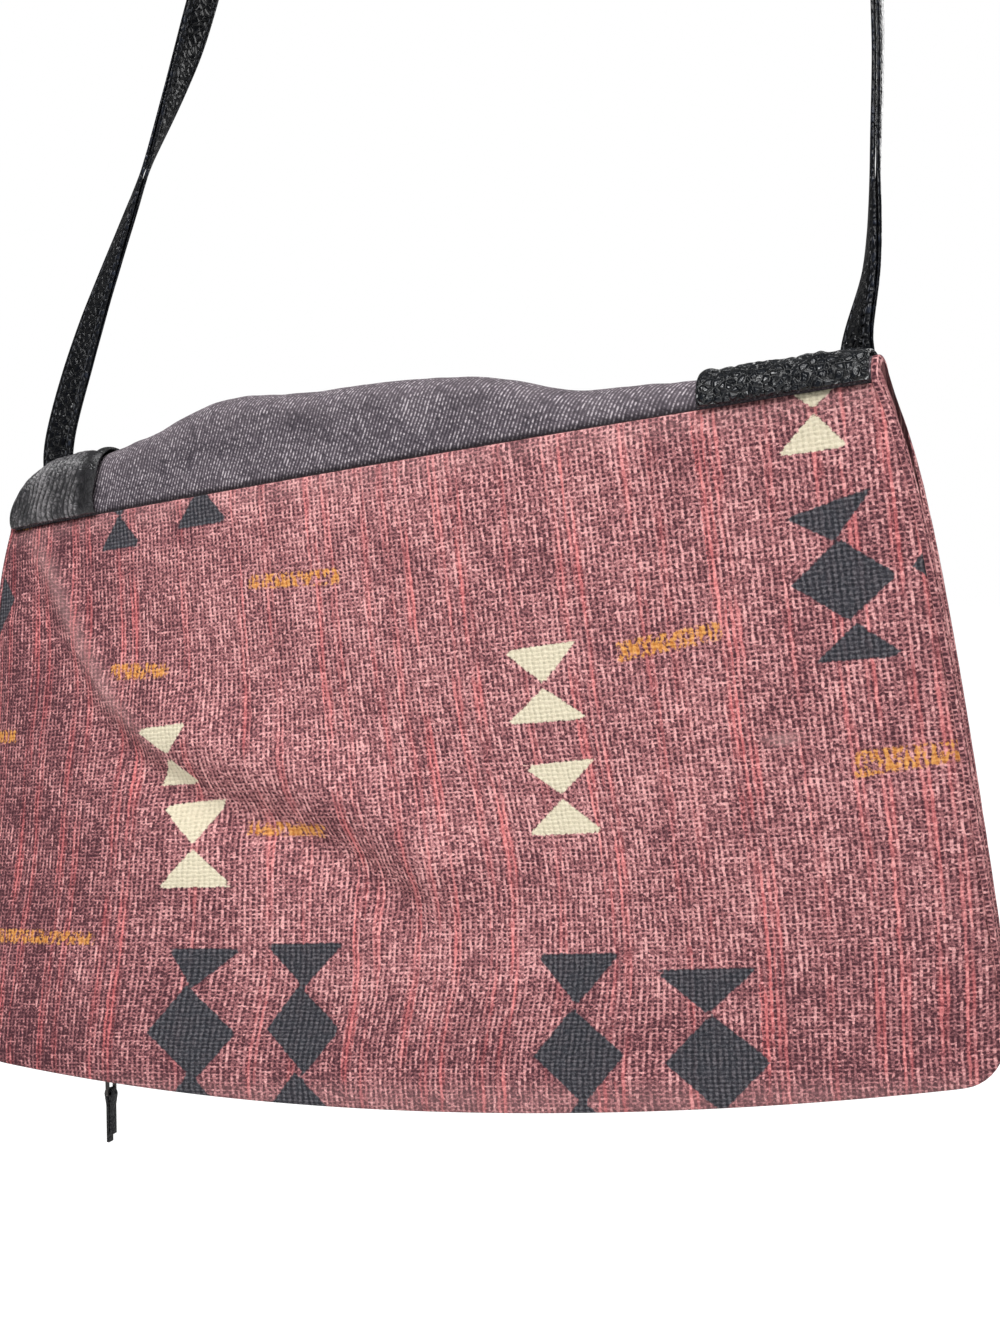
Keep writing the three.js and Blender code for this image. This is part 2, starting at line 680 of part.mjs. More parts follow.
function sliderBody() {
  const half = sliderLength / 2;
  const shoulder = half * 0.15;
  const plate = new THREE.Shape();
  plate.moveTo(-half, -sliderRearHalfWidth + plateRearCorner);
  plate.quadraticCurveTo(-half, -sliderRearHalfWidth, -half + plateRearCorner, -sliderRearHalfWidth);
  plate.lineTo(shoulder, -sliderHalfWidth);
  plate.lineTo(half - plateCorner, -sliderHalfWidth);
  plate.quadraticCurveTo(half, -sliderHalfWidth, half, -sliderHalfWidth + plateCorner);
  plate.lineTo(half - plateNotch, 0);
  plate.lineTo(half, sliderHalfWidth - plateCorner);
  plate.quadraticCurveTo(half, sliderHalfWidth, half - plateCorner, sliderHalfWidth);
  plate.lineTo(shoulder, sliderHalfWidth);
  plate.lineTo(-half + plateRearCorner, sliderRearHalfWidth);
  plate.quadraticCurveTo(-half, sliderRearHalfWidth, -half, sliderRearHalfWidth - plateRearCorner);
  const lower = extrude(plate, plateWall).translate(0, 0, -plateOutside);
  const upper = extrude(plate, plateWall).translate(0, 0, plateInside);
  const post = new THREE.BoxGeometry(postLength, 2 * postHalfWidth, 2 * plateInside + plateWall)
    .translate(half - postInset - postLength / 2, 0, 0);
  let solid = solidOf(lower).add(solidOf(upper)).add(solidOf(post));
  const lipInside = rowHalfGap + toothLength + teethBead + plateClearance;
  const slot = tapeWall / 2 + plateClearance;
  for (const side of [-1, 1]) {
    for (const face of [-1, 1]) {
      const lipTop = plateOutside - lipInset;
      const lip = new THREE.BoxGeometry(half, sliderHalfWidth - lipInside, lipTop - slot)
        .translate(half * 0.4, side * (sliderHalfWidth + lipInside) / 2, face * (lipTop + slot) / 2);
      solid = solid.add(solidOf(lip));
    }
  }
  const bail = new THREE.Shape();
  const drop = bailInside + bailWall;
  const end = bailLength / 2;
  bail.moveTo(-end, bailFoot);
  bail.lineTo(-end, -drop + bailCorner);
  bail.quadraticCurveTo(-end, -drop, -end + bailCorner, -drop);
  bail.lineTo(end - bailCorner, -drop);
  bail.quadraticCurveTo(end, -drop, end, -drop + bailCorner);
  bail.lineTo(end, bailFoot);
  bail.lineTo(end - bailWall, bailFoot);
  bail.lineTo(end - bailWall, -bailInside);
  bail.lineTo(-end + bailWall, -bailInside);
  bail.lineTo(-end + bailWall, bailFoot);
  const arch = extrude(bail, bailWidth).rotateX(Math.PI / 2).translate(0, bailWidth / 2, -plateOutside);
  return piece('slider_body', geometryOf(solid.add(solidOf(arch))), darkMetal());
}

const pullPivotDrop = plateOutside + bailInside - layerGap - pullWire / 2;

// Pull: a flat ring whose upper bar runs through the bail
function sliderPull() {
  const halfWidth = bailWidth / 2 + pullClearance + pullWire;
  const outline = new THREE.Shape();
  const top = pullWire / 2;
  const bottom = -pullWire * 1.5 - pullWindow;
  outline.moveTo(-halfWidth, top);
  outline.lineTo(halfWidth, top);
  outline.lineTo(halfWidth, bottom + pullCorner);
  outline.lineTo(halfWidth - pullCorner, bottom);
  outline.lineTo(-halfWidth + pullCorner, bottom);
  outline.lineTo(-halfWidth, bottom + pullCorner);
  const window = new THREE.Path();
  const inside = halfWidth - pullWire;
  window.moveTo(-inside, top - pullWire);
  window.lineTo(-inside, bottom + pullWire);
  window.lineTo(inside, bottom + pullWire);
  window.lineTo(inside, top - pullWire);
  outline.holes.push(window);
  const geometry = extrude(outline, pullWire).translate(0, 0, -pullWire / 2)
    .rotateX(Math.PI / 2).rotateZ(Math.PI / 2);
  return piece('slider_pull', geometryOf(solidOf(geometry)), darkMetal());
}

// Thong: a leather strip doubled over the lower bar of the pull
function pullThong() {
  const barDrop = -pullWire - pullWindow;
  const bend = pullWire / 2 + layerGap + thongWall / 2;
  const bendSteps = 6;
  const legX = (thongWall + thongLegGap) / 2;
  const spine = [
    new THREE.Vector2(-legX, barDrop - thongLength),
    new THREE.Vector2(-legX, barDrop - thongBendDrop),
  ];
  for (let step = 0; step <= bendSteps; step += 1) {
    const angle = Math.PI * (1 - step / bendSteps);
    spine.push(new THREE.Vector2(bend * Math.cos(angle), barDrop + bend * Math.sin(angle)));
  }
  spine.push(new THREE.Vector2(legX, barDrop - thongBendDrop));
  spine.push(new THREE.Vector2(legX, barDrop - thongLength + thongShorterLeg));
  const rings = spine.map((point, k) => {
    const ahead = spine[Math.min(k + 1, spine.length - 1)];
    const behind = spine[Math.max(k - 1, 0)];
    const along = ahead.clone().sub(behind).normalize();
    const corner = (sideways, y) => new THREE.Vector3(
      point.x - along.y * sideways, y, point.y + along.x * sideways);
    const [half, edge] = [thongWall / 2, thongWidth / 2];
    return [corner(-half, -edge), corner(half, -edge), corner(half, edge), corner(-half, edge)];
  });
  return piece('pull_thong', ringsGeometry(rings), blackLeather());
}

// Strap route: sewn to the back of each corner, up beside the wearer and over the shoulder
const strapHalf = strapPly + strapPlyGap / 2;
const hang = (point) => point.applyAxisAngle(new THREE.Vector3(0, 1, 0), -bagTilt);

function strapFoot(u, below, clear = 0) {
  const a = (u - leftEdge(0)) / (rightEdge(0) - leftEdge(0));
  const v = foldCentre(a) - below;
  const q = below / (foldCentre(a) - bodyEnd(a));
  const across = strapWidth / 2 / (rightEdge(0) - leftEdge(0));
  const proudest = Math.max(...[a - across, a, a + across].map((at) => bodyOut(faces.canvas.outer, at, q)));
  const out = proudest + leatherGap + leatherWall + strapGap + strapHalf + clear;
  return hang(place(u, v, -out));
}

const leftFootU = footInsetLeft - foldHalfLeft;
const rightFootU = foldHalfRight - footInsetRight;
// Each stop of the route: its place, and the turn of the strap's width from the X axis in degrees
const leftRoute = [
  [strapFoot(leftFootU, strapSewnLength), -11], [strapFoot(leftFootU, strapSewnLength / 2), -11],
  [strapFoot(leftFootU, 1, 0.3), -11], [new THREE.Vector3(-148.5, 41, 10), -16],
  [new THREE.Vector3(-142, 47.5, 47), -30], [new THREE.Vector3(-121.5, 58, 111), -60],
  [new THREE.Vector3(-104.5, 68, 166), -104], [new THREE.Vector3(-82, 79, 265), -98],
  [new THREE.Vector3(-60, 89, 395), -91],
];
const rightRoute = [
  [new THREE.Vector3(91, 86, 395), -90], [new THREE.Vector3(122, 68, 265), -90],
  [new THREE.Vector3(141, 47, 166), -89], [new THREE.Vector3(146, 35.5, 120), -86],
  [new THREE.Vector3(147.5, 26.5, 84), -82], [new THREE.Vector3(148, 20, 52), -68],
  [strapFoot(rightFootU, -12, 4.5), -46], [strapFoot(rightFootU, 2, 2.4), -16],
  [strapFoot(rightFootU, strapSewnLength / 2), 0], [strapFoot(rightFootU, strapSewnLength), 0],
];

const legSteps = 27;
const arcSteps = 8;

function strapStations() {
  const topZ = crown.z + strapHalf;
  const centreZ = topZ - crownRadius + crownFlat / 2;
  const arcRadius = crownRadius - crownFlat / 2;
  const arcPoint = (side, angle) => new THREE.Vector3(
    crown.x + side * (crownFlat / 2 + arcRadius * Math.cos(angle)),
    crown.y,
    centreZ + arcRadius * Math.sin(angle));
  const stations = [];
  const addLeg = (route) => {
    const curve = new THREE.CatmullRomCurve3(route.map(([point]) => point), false, 'centripetal');
    for (let step = 0; step <= legSteps; step += 1) {
      const t = (step / legSteps) * (route.length - 1);
      const k = Math.min(Math.floor(t), route.length - 2);
      const turn = mix(route[k][1], route[k + 1][1], t - k);
      stations.push({ point: curve.getPoint(step / legSteps), turn });
    }
  };
  addLeg([...leftRoute, [arcPoint(-1, 0), -90]]);
  for (let step = 1; step <= arcSteps; step += 1) {
    stations.push({ point: arcPoint(-1, (Math.PI / 2) * (step / arcSteps)), turn: -90 });
  }
  for (let step = arcSteps; step > 0; step -= 1) {
    stations.push({ point: arcPoint(1, (Math.PI / 2) * (step / arcSteps)), turn: -90 });
  }
  addLeg([[arcPoint(1, 0), -90], ...rightRoute]);
  return stations;
}

function strapPlyPiece(name, side) {
  const stations = strapStations();
  const near = (strapPlyGap / 2) * side;
  const far = near + strapPly * side;
  const rings = stations.map(({ point, turn }, k) => {
    const ahead = stations[Math.min(k + 1, stations.length - 1)].point;
    const behind = stations[Math.max(k - 1, 0)].point;
    const along = ahead.clone().sub(behind).normalize();
    if (Math.abs(point.z - crown.z - strapHalf) < 1e-6) {
      along.set(1, 0, 0);
    }
    const angle = THREE.MathUtils.degToRad(turn);
    const width = new THREE.Vector3(Math.cos(angle), Math.sin(angle), 0);
    width.addScaledVector(along, -width.dot(along)).normalize();
    const outward = new THREE.Vector3().crossVectors(along, width);
    const half = strapWidth / 2;
    const corner = (across, out) => (
      point.clone().addScaledVector(width, across).addScaledVector(outward, out));
    return [corner(-half, near), corner(half, near), corner(half, far), corner(-half, far)];
  });
  return piece(name, ringsGeometry(rings), blackLeather());
}

function slider() {
  const carriage = new THREE.Group();
  carriage.quaternion.setFromAxisAngle(zipAxis, sliderAngle);
  carriage.position.copy(zipCentre).sub(zipCentre.clone().applyQuaternion(carriage.quaternion));
  carriage.add(sliderBody());
  const hanging = new THREE.Group();
  hanging.position.z = -pullPivotDrop;
  const turned = new THREE.Quaternion()
    .setFromAxisAngle(new THREE.Vector3(0, 1, 0), -bagTilt)
    .multiply(new THREE.Quaternion().setFromAxisAngle(new THREE.Vector3(0, 0, 1), bagTwist))
    .multiply(carriage.quaternion);
  const down = new THREE.Vector3(0, 0, -1).applyQuaternion(turned.invert());
  hanging.rotation.y = Math.atan2(-down.x, -down.z);
  hanging.add(sliderPull(), pullThong());
  carriage.add(hanging);
  return carriage;
}

function zip() {
  const group = zipGroup();
  const outside = rowHalfGap + toothLength + teethBead;
  const stopHalf = (stopLength / 2 + stopGap) / zipRadius;
  group.add(
    zipTape('zip_tape_front', -1), zipTape('zip_tape_back', 1),
    zipTeeth('zip_teeth_front', -1, 0), zipTeeth('zip_teeth_back', 1, 0.5),
    zipStop('zip_bottom_stop', teethStart - stopHalf, -outside, outside),
    zipStop('zip_top_stop_front', teethEnd + stopHalf, -outside, -rowHalfGap),
    zipStop('zip_top_stop_back', teethEnd + stopHalf, rowHalfGap, outside),
    slider());
  return group;
}

const bag = new THREE.Group();
bag.rotation.y = -bagTilt;
bag.add(
  flapPanel(), topPanel(), innerPanel(),
  lining('outer_lining', faces.outerLining), lining('inner_lining', faces.innerLining),
  leatherCorner('leather_corner_left', leftEdge(0), leftEdge(0) + leftCornerWidth, leftGathers),
  leatherCorner('leather_corner_right', rightEdge(0) - rightCornerWidth, rightEdge(0), rightWrinkles),
  sideStrip('side_strip_left', 0, -1), sideStrip('side_strip_right', 1, 1),
  bottomWelt(), zip());

const hung = new THREE.Group();
hung.position.copy(crown).negate();
hung.add(bag, strapPlyPiece('strap_inner_ply', 1), strapPlyPiece('strap_outer_ply', -1));

const crossbodyBag = new THREE.Group();
crossbodyBag.add(hung);

export default crossbodyBag;
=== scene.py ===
# Fold-over crossbody bag: cloth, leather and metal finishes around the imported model
import bpy
import bmesh
import numpy as np
from math import pi, sin, cos, radians
from mathutils import Matrix, Vector, noise


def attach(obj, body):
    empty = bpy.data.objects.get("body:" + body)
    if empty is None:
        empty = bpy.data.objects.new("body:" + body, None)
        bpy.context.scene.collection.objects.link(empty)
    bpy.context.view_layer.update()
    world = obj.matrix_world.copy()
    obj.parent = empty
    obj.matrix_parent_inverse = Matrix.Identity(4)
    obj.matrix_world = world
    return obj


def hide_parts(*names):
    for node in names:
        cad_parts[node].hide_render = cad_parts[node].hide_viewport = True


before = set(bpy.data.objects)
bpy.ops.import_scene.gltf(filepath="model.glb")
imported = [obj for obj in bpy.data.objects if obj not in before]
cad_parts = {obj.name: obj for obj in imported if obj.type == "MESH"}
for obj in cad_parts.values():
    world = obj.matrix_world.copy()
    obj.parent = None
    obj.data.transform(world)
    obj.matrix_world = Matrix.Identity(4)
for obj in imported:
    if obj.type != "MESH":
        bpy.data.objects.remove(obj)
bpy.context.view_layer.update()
mm = 0.001
scene = bpy.context.scene
scene.view_settings.view_transform = "Standard"
print("frame loaded:", len(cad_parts), "nodes")

# camera, at the photograph's viewing angle
cameraSettings = {
    "lens": 40.5, "sensor": 36.0, "azimuth": 23.5, "elevation": 4.0, "distance": 0.440,
    "target": (0.032, -0.092, -0.6195),
}
cameraData = bpy.data.cameras.new("camera")
cameraData.lens = cameraSettings["lens"]
cameraData.sensor_width = cameraSettings["sensor"]
cameraData.clip_start = 0.01
camera = bpy.data.objects.new("camera", cameraData)
scene.collection.objects.link(camera)
around = radians(cameraSettings["azimuth"])
above = radians(cameraSettings["elevation"])
sight = Vector((-sin(around) * cos(above), cos(around) * cos(above), -sin(above)))
camera.location = Vector(cameraSettings["target"]) - sight * cameraSettings["distance"]
camera.rotation_euler = sight.to_track_quat("-Z", "Y").to_euler()
scene.camera = camera


# the bag's outline and layers, in millimetres, as they are cut and sewn
bag = {
    "foldHalfRight": 154, "foldHalfLeft": 157, "flareRight": 5.5, "flareLeft": 8, "shoulder": 20,
    "taperRight": 0.055, "taperLeft": 0.075, "flapDepth": 198.6, "hemCorner": 12, "bodyShorterBy": 12,
    "crest": [(-160, 7), (-150, 14), (-134, 19.6), (-108, 20.8), (-84, 24), (-58, 29.5), (-20, 26.5),
              (18, 24), (48, 19), (70, 12), (90, 10), (125, 8.2), (156, 8.6)],
    "canvasWall": 0.9, "innerWall": 0.8, "liningWall": 0.4, "leatherWall": 1.1,
    "layerGap": 0.35, "leatherGap": 0.55, "strapGap": 0.85, "seamGap": 0.35,
    "foldRadius": 7, "innerFoldRadius": 1.1, "bodyGap": 1.5, "backBelly": 8, "edgeClose": 16,
    "hemTurnGap": 0.5, "hemTurnHeight": 8, "hemStackExtra": 1.2, "slotHalf": 4.6,
    "zipRadius": 1080, "zipLean": radians(41.8), "zipLowestU": 25, "zipRecess": 3.4,
    "tilt": radians(6.5), "twist": radians(4.5), "twistDepth": 182, "crown": (14, 92, 560),
}
stackHalf = (2 * bag["liningWall"] + bag["canvasWall"] + bag["innerWall"] + 3 * bag["layerGap"]) / 2
slotFront = bag["foldRadius"] - 2 * bag["canvasWall"] - bag["hemTurnGap"]
slotBack = slotFront - 2 * bag["slotHalf"]
flapBack = slotBack - 2 * bag["innerWall"] - bag["hemTurnGap"]
flapMiddle = (bag["foldRadius"] + flapBack) / 2
foldMiddle = (bag["foldRadius"] + bag["innerFoldRadius"]) / 2
bodyMiddle = -flapBack + bag["bodyGap"] + stackHalf


def mix(a, b, share):
    return a + (b - a) * share


def ease(x):
    t = np.clip(x, 0, 1)
    return t * t * (3 - 2 * t)


def bump(x, width):
    return np.exp(-(x / width) ** 2)


def smoothLine(stops, x):
    # a smooth curve through given stops, as a function of the first coordinate
    px = np.array([p for p, _ in stops], float)
    py = np.array([q for _, q in stops], float)
    slope = np.gradient(py, px)
    x = np.clip(x, px[0], px[-1])
    k = np.clip(np.searchsorted(px, x, side="right") - 1, 0, len(px) - 2)
    span = px[k + 1] - px[k]
    t = (x - px[k]) / span
    return ((2 * t ** 3 - 3 * t ** 2 + 1) * py[k] + (t ** 3 - 2 * t ** 2 + t) * span * slope[k]
            + (3 * t ** 2 - 2 * t ** 3) * py[k + 1] + (t ** 3 - t ** 2) * span * slope[k + 1])


def crestHeight(u):
    return smoothLine(bag["crest"], u)


def rightEdge(v):
    depth = np.maximum(0, -v)
    flare = bag["flareRight"] * (1 - np.exp(-depth / bag["shoulder"]))
    return bag["foldHalfRight"] + flare + bag["taperRight"] * depth


def leftEdge(v):
    depth = np.maximum(0, -v)
    flare = bag["flareLeft"] * (1 - np.exp(-depth / bag["shoulder"]))
    return -bag["foldHalfLeft"] - flare - bag["taperLeft"] * depth


def sag(u):
    return bag["zipRadius"] - np.sqrt(bag["zipRadius"] ** 2 - (u - bag["zipLowestU"]) ** 2)


def place(u, v, w):
    # u across, v up from the seam, w out of the middle of the fold: a point of the bag before it is hung
    turn = bag["twist"] * np.clip(-1 + 2 * -v / bag["twistDepth"], -1, 1)
    back = sag(u) * sin(bag["zipLean"]) - w + bag["foldRadius"]
    x = u * np.cos(turn) - back * np.sin(turn)
    y = u * np.sin(turn) + back * np.cos(turn)
    return np.stack(np.broadcast_arrays(x, y, v), -1)


def hang(points):
    tilt = bag["tilt"]
    x, y, z = points[..., 0], points[..., 1], points[..., 2]
    return np.stack([x * cos(tilt) - z * sin(tilt), y, x * sin(tilt) + z * cos(tilt)], -1)


def toFrame(u, v, w):
    return (hang(place(u, v, w)) - np.array(bag["crown"])) * mm


def acrossAt(a, v):
    return mix(leftEdge(v), rightEdge(v), a)


def foldCentre(a):
    return crestHeight(mix(leftEdge(0), rightEdge(0), a)) - bag["foldRadius"]


def flapEnd(a):
    v = -bag["flapDepth"] + bag["hemCorner"]
    u = acrossAt(a, v)
    inCorner = np.maximum(0, bag["hemCorner"] - np.minimum(u - leftEdge(v), rightEdge(v) - u))
    corner = bag["hemCorner"] - np.sqrt(np.maximum(0, bag["hemCorner"] ** 2 - inCorner ** 2))
    return -bag["flapDepth"] + sag(u) * cos(bag["zipLean"]) + corner


def bodyEnd(a):
    return flapEnd(a) + bag["bodyShorterBy"]


def closureAt(u, v):
    fromEdge = np.minimum(u - leftEdge(v), rightEdge(v) - u)
    return np.sin(pi / 2 * np.clip(fromEdge / bag["edgeClose"], 0, 1))


# the drape of the flap: a long soft crease from the upper left, a belly, and ripples by the seams
drape = {
    "creaseLine": [(-150, -2), (-136, -16), (-122, -42), (-108, -64), (-90, -82), (-66, -94),
                   (-40, -103), (-16, -114), (4, -129), (16, -148)],
    "ridge": (2.6, 6), "valley": (-4.6, -7, 8), "over": (5.0, 12, 13), "under": (2.0, -34, 22),
    "belly": (2.0, 85, -120, 60, 50), "ripple": (0.45, 12, 7, 9), "rippleBend": (1.3, 31), "seed": 11,
    "calmAtSeam": 16, "calmAtHem": (12, 24), "endOver": 0.12, "ridgeFade": (0.62, 0.3),
    "valleyFrom": (0.22, 0.3),
}


def creasePlace(u, v):
    # how far along the crease a point lies, from 0 to 1, and how far to its upper right side
    line = np.array(drape["creaseLine"], float)
    steps = np.linalg.norm(np.diff(line, axis=0), axis=1)
    reach = np.concatenate([[0], np.cumsum(steps)])
    p = np.stack([np.asarray(u, float), np.asarray(v, float)], -1)
    nearest = np.full(p.shape[:-1], 1e9)
    along = np.zeros(p.shape[:-1])
    side = np.zeros(p.shape[:-1])
    for k in range(len(line) - 1):
        ahead = (line[k + 1] - line[k]) / steps[k]
        offset = p - line[k]
        t = np.clip(offset @ ahead, 0, steps[k])
        away = offset - t[..., None] * ahead
        d = np.linalg.norm(away, axis=-1)
        better = d < nearest
        nearest = np.where(better, d, nearest)
        along = np.where(better, (reach[k] + t) / reach[-1], along)
        cross = ahead[0] * offset[..., 1] - ahead[1] * offset[..., 0]
        side = np.where(better, np.where(cross > 0, d, -d), side)
    return along, side


def flapRelief(u, v):
    along, side = creasePlace(u, v)
    hemFrom, hemOver = drape["calmAtHem"]
    inside = ease(-v / drape["calmAtSeam"]) * ease((v + bag["flapDepth"] - hemFrom) / hemOver)
    start = ease(along / drape["endOver"])
    end = ease((1 - along) / drape["endOver"])
    fadeEnd, fadeOver = drape["ridgeFade"]
    ridge = drape["ridge"][0] * bump(side, drape["ridge"][1]) * start * ease((fadeEnd - along) / fadeOver)
    lowerFrom, lowerOver = drape["valleyFrom"]
    lower = ease((along - lowerFrom) / lowerOver) * end
    valley = drape["valley"][0] * bump(side - drape["valley"][1], drape["valley"][2]) * lower
    over = drape["over"][0] * bump(side - drape["over"][1], drape["over"][2]) * lower
    under = drape["under"][0] * bump(side - drape["under"][1], drape["under"][2]) * start * end
    height, bellyU, bellyV, halfWidth, halfDepth = drape["belly"]
    belly = height * bump(u - bellyU, halfWidth) * bump(v - bellyV, halfDepth)
    rippleHeight, rippleLength, rippleReach, rippleBelow = drape["ripple"]
    bendBy, bendLength = drape["rippleBend"]
    waves = np.sin(u / rippleLength + bendBy * np.sin(u / bendLength))
    ripple = rippleHeight * bump(v + rippleBelow, rippleReach) * waves * ease(-v / 5)
    return inside * (ridge + valley + over + under + belly) + ripple


def slowNoise(u, v, length, seed):
    # smooth unit noise on the flat cloth, with hollows and rises of about that length in millimetres
    return np.array([noise.noise(Vector((x / length, y / length, seed))) for x, y in
                     zip(np.ravel(u), np.ravel(v))]).reshape(np.shape(u))


def layerFace(name):
    # a layer's outer face: how far it lies out in the fold, in the flap and in the pressed edge
    liningIn = bag["canvasWall"] + bag["layerGap"]
    innerOut = bag["innerWall"] + bag["layerGap"] + bag["liningWall"]
    return {
        "canvas": (bag["foldRadius"], bag["foldRadius"], stackHalf, 1),
        "outerLining": (bag["foldRadius"] - liningIn, bag["foldRadius"] - liningIn, stackHalf - liningIn, 1),
        "innerPanel": (bag["innerFoldRadius"], flapBack, -stackHalf, -1),
        "innerLining": (bag["innerFoldRadius"] + innerOut, flapBack + innerOut, -stackHalf + innerOut, -1),
    }[name]


def flapOut(face, a, q):
    fold, flap, stack, side = face
    v = mix(foldCentre(a), flapEnd(a), q)
    u = acrossAt(a, v)
    opened = mix(fold, flap, ease(q)) + (flapRelief(u, v) if side > 0 else 0)
    pressed = mix(foldMiddle, flapMiddle, ease(q)) + stack + side * bag["hemStackExtra"] * ease(q)
    return mix(pressed, opened, closureAt(u, v))


def foldOut(face, a):
    return mix(foldMiddle + face[2], face[0], closureAt(acrossAt(a, 0), 0))


def bodyOut(face, a, q):
    fold, flap, stack, side = face
    v = mix(foldCentre(a), bodyEnd(a), q)
    pressed = mix(foldMiddle, bodyMiddle, ease(q)) + stack
    belly = bag["backBelly"] * np.sin(pi * np.clip(q, 0, 1)) if side > 0 else 0
    opened = mix(fold, bodyMiddle + stack, ease(q)) + belly
    return mix(pressed, opened, closureAt(acrossAt(a, v), v))


def onFlap(face, a, q):
    v = mix(foldCentre(a), flapEnd(a), q)
    u = acrossAt(a, v)
    return u, v, flapOut(face, a, q)


def onFold(face, a, angle):
    r = foldOut(face, a)
    return acrossAt(a, 0) + 0 * angle, foldCentre(a) + r * np.sin(angle), r * np.cos(angle)


def onBody(face, a, q):
    v = mix(foldCentre(a), bodyEnd(a), q)
    return acrossAt(a, v), v, -bodyOut(face, a, q)


# finishes

def srgb(red, green, blue):
    # a colour as it looks, 0 to 255, turned into the linear values that the shader takes
    return tuple((c / 255 / 12.92 if c <= 10 else ((c / 255 + 0.055) / 1.055) ** 2.4)
                 for c in (red, green, blue)) + (1.0,)


class Finish:
    # one material, with short calls for the nodes that the finishes share
    def __init__(self, name):
        self.material = bpy.data.materials.new(name)
        self.material.use_nodes = True
        self.tree = self.material.node_tree
        self.shader = self.tree.nodes["Principled BSDF"]

    def node(self, kind, **settings):
        made = self.tree.nodes.new(kind)
        for key, setting in settings.items():
            setattr(made, key, setting)
        return made

    def feed(self, socket, source):
        if isinstance(source, bpy.types.NodeSocket):
            self.tree.links.new(source, socket)
        else:
            socket.default_value = source

    def calc(self, operation, *sources, clamp=False):
        made = self.node("ShaderNodeMath", operation=operation, use_clamp=clamp)
        for socket, source in zip(made.inputs, sources):
            self.feed(socket, source)
        return made.outputs[0]

    def times(self, a, b):
        return self.calc("MULTIPLY", a, b)

    def plus(self, *sources):
        total = sources[0]
        for source in sources[1:]:
            total = self.calc("ADD", total, source)
        return total

    def wave(self, phase):
        return self.calc("SINE", self.times(phase, 2 * pi))

    def step(self, source, low, high):
        made = self.node("ShaderNodeMapRange", interpolation_type="SMOOTHSTEP")
        for socket, value in zip(made.inputs, (source, low, high, 0.0, 1.0)):
            self.feed(socket, value)
        return made.outputs[0]

    def vector(self, x=0.0, y=0.0, z=0.0):
        made = self.node("ShaderNodeCombineXYZ")
        for socket, source in zip(made.inputs, (x, y, z)):
            self.feed(socket, source)
        return made.outputs[0]

    def noise(self, vector, scale=1.0, detail=1.0, roughness=0.5, output="Fac"):
        made = self.node("ShaderNodeTexNoise")
        self.feed(made.inputs["Vector"], vector)
        made.inputs["Scale"].default_value = scale
        made.inputs["Detail"].default_value = detail
        made.inputs["Roughness"].default_value = roughness
        return made.outputs[output]

    def clothNoise(self, u, v, sizeU, sizeV, seed, detail=1.0, roughness=0.5):
        # spots on the flat cloth, of about these sizes in millimetres across and along
        spot = self.vector(self.times(u, 1 / sizeU), self.times(v, 1 / sizeV), seed)
        return self.noise(spot, detail=detail, roughness=roughness)

    def centred(self, source, gain):
        return self.calc("MULTIPLY_ADD", source, gain, -0.5 * gain)

    def ramp(self, factor, stops):
        made = self.node("ShaderNodeValToRGB")
        while len(made.color_ramp.elements) < len(stops):
            made.color_ramp.elements.new(0.5)
        for element, (at, colour) in zip(made.color_ramp.elements, stops):
            element.position = at
            element.color = colour
        self.feed(made.inputs[0], factor)
        return made.outputs["Color"]

    def blend(self, factor, a, b):
        made = self.node("ShaderNodeMix", data_type="RGBA")
        self.feed(made.inputs[0], factor)
        self.feed(made.inputs[6], a)
        self.feed(made.inputs[7], b)
        return made.outputs[2]

    def attribute(self, name):
        return self.node("ShaderNodeAttribute", attribute_name=name).outputs["Fac"]

    def flat(self):
        # the place on the flat cloth, in millimetres
        uv = self.node("ShaderNodeUVMap", uv_map="flat")
        parts = self.node("ShaderNodeSeparateXYZ")
        self.feed(parts.inputs[0], uv.outputs[0])
        return self.times(parts.outputs[0], 1000), self.times(parts.outputs[1], 1000)

    def objectMm(self):
        made = self.node("ShaderNodeVectorMath", operation="SCALE")
        self.feed(made.inputs[0], self.node("ShaderNodeTexCoord").outputs["Object"])
        made.inputs["Scale"].default_value = 1000
        return made.outputs[0]

    def raised(self, height, distance, strength=1.0):
        made = self.node("ShaderNodeBump")
        made.inputs["Strength"].default_value = strength
        made.inputs["Distance"].default_value = distance * mm
        self.feed(made.inputs["Height"], height)
        return made.outputs["Normal"]

    def finish(self, colour, roughness, normal=None, **constants):
        self.feed(self.shader.inputs["Base Color"], colour)
        self.feed(self.shader.inputs["Roughness"], roughness)
        if normal is not None:
            self.feed(self.shader.inputs["Normal"], normal)
        for key, value in constants.items():
            self.shader.inputs[key].default_value = value
        return self.material
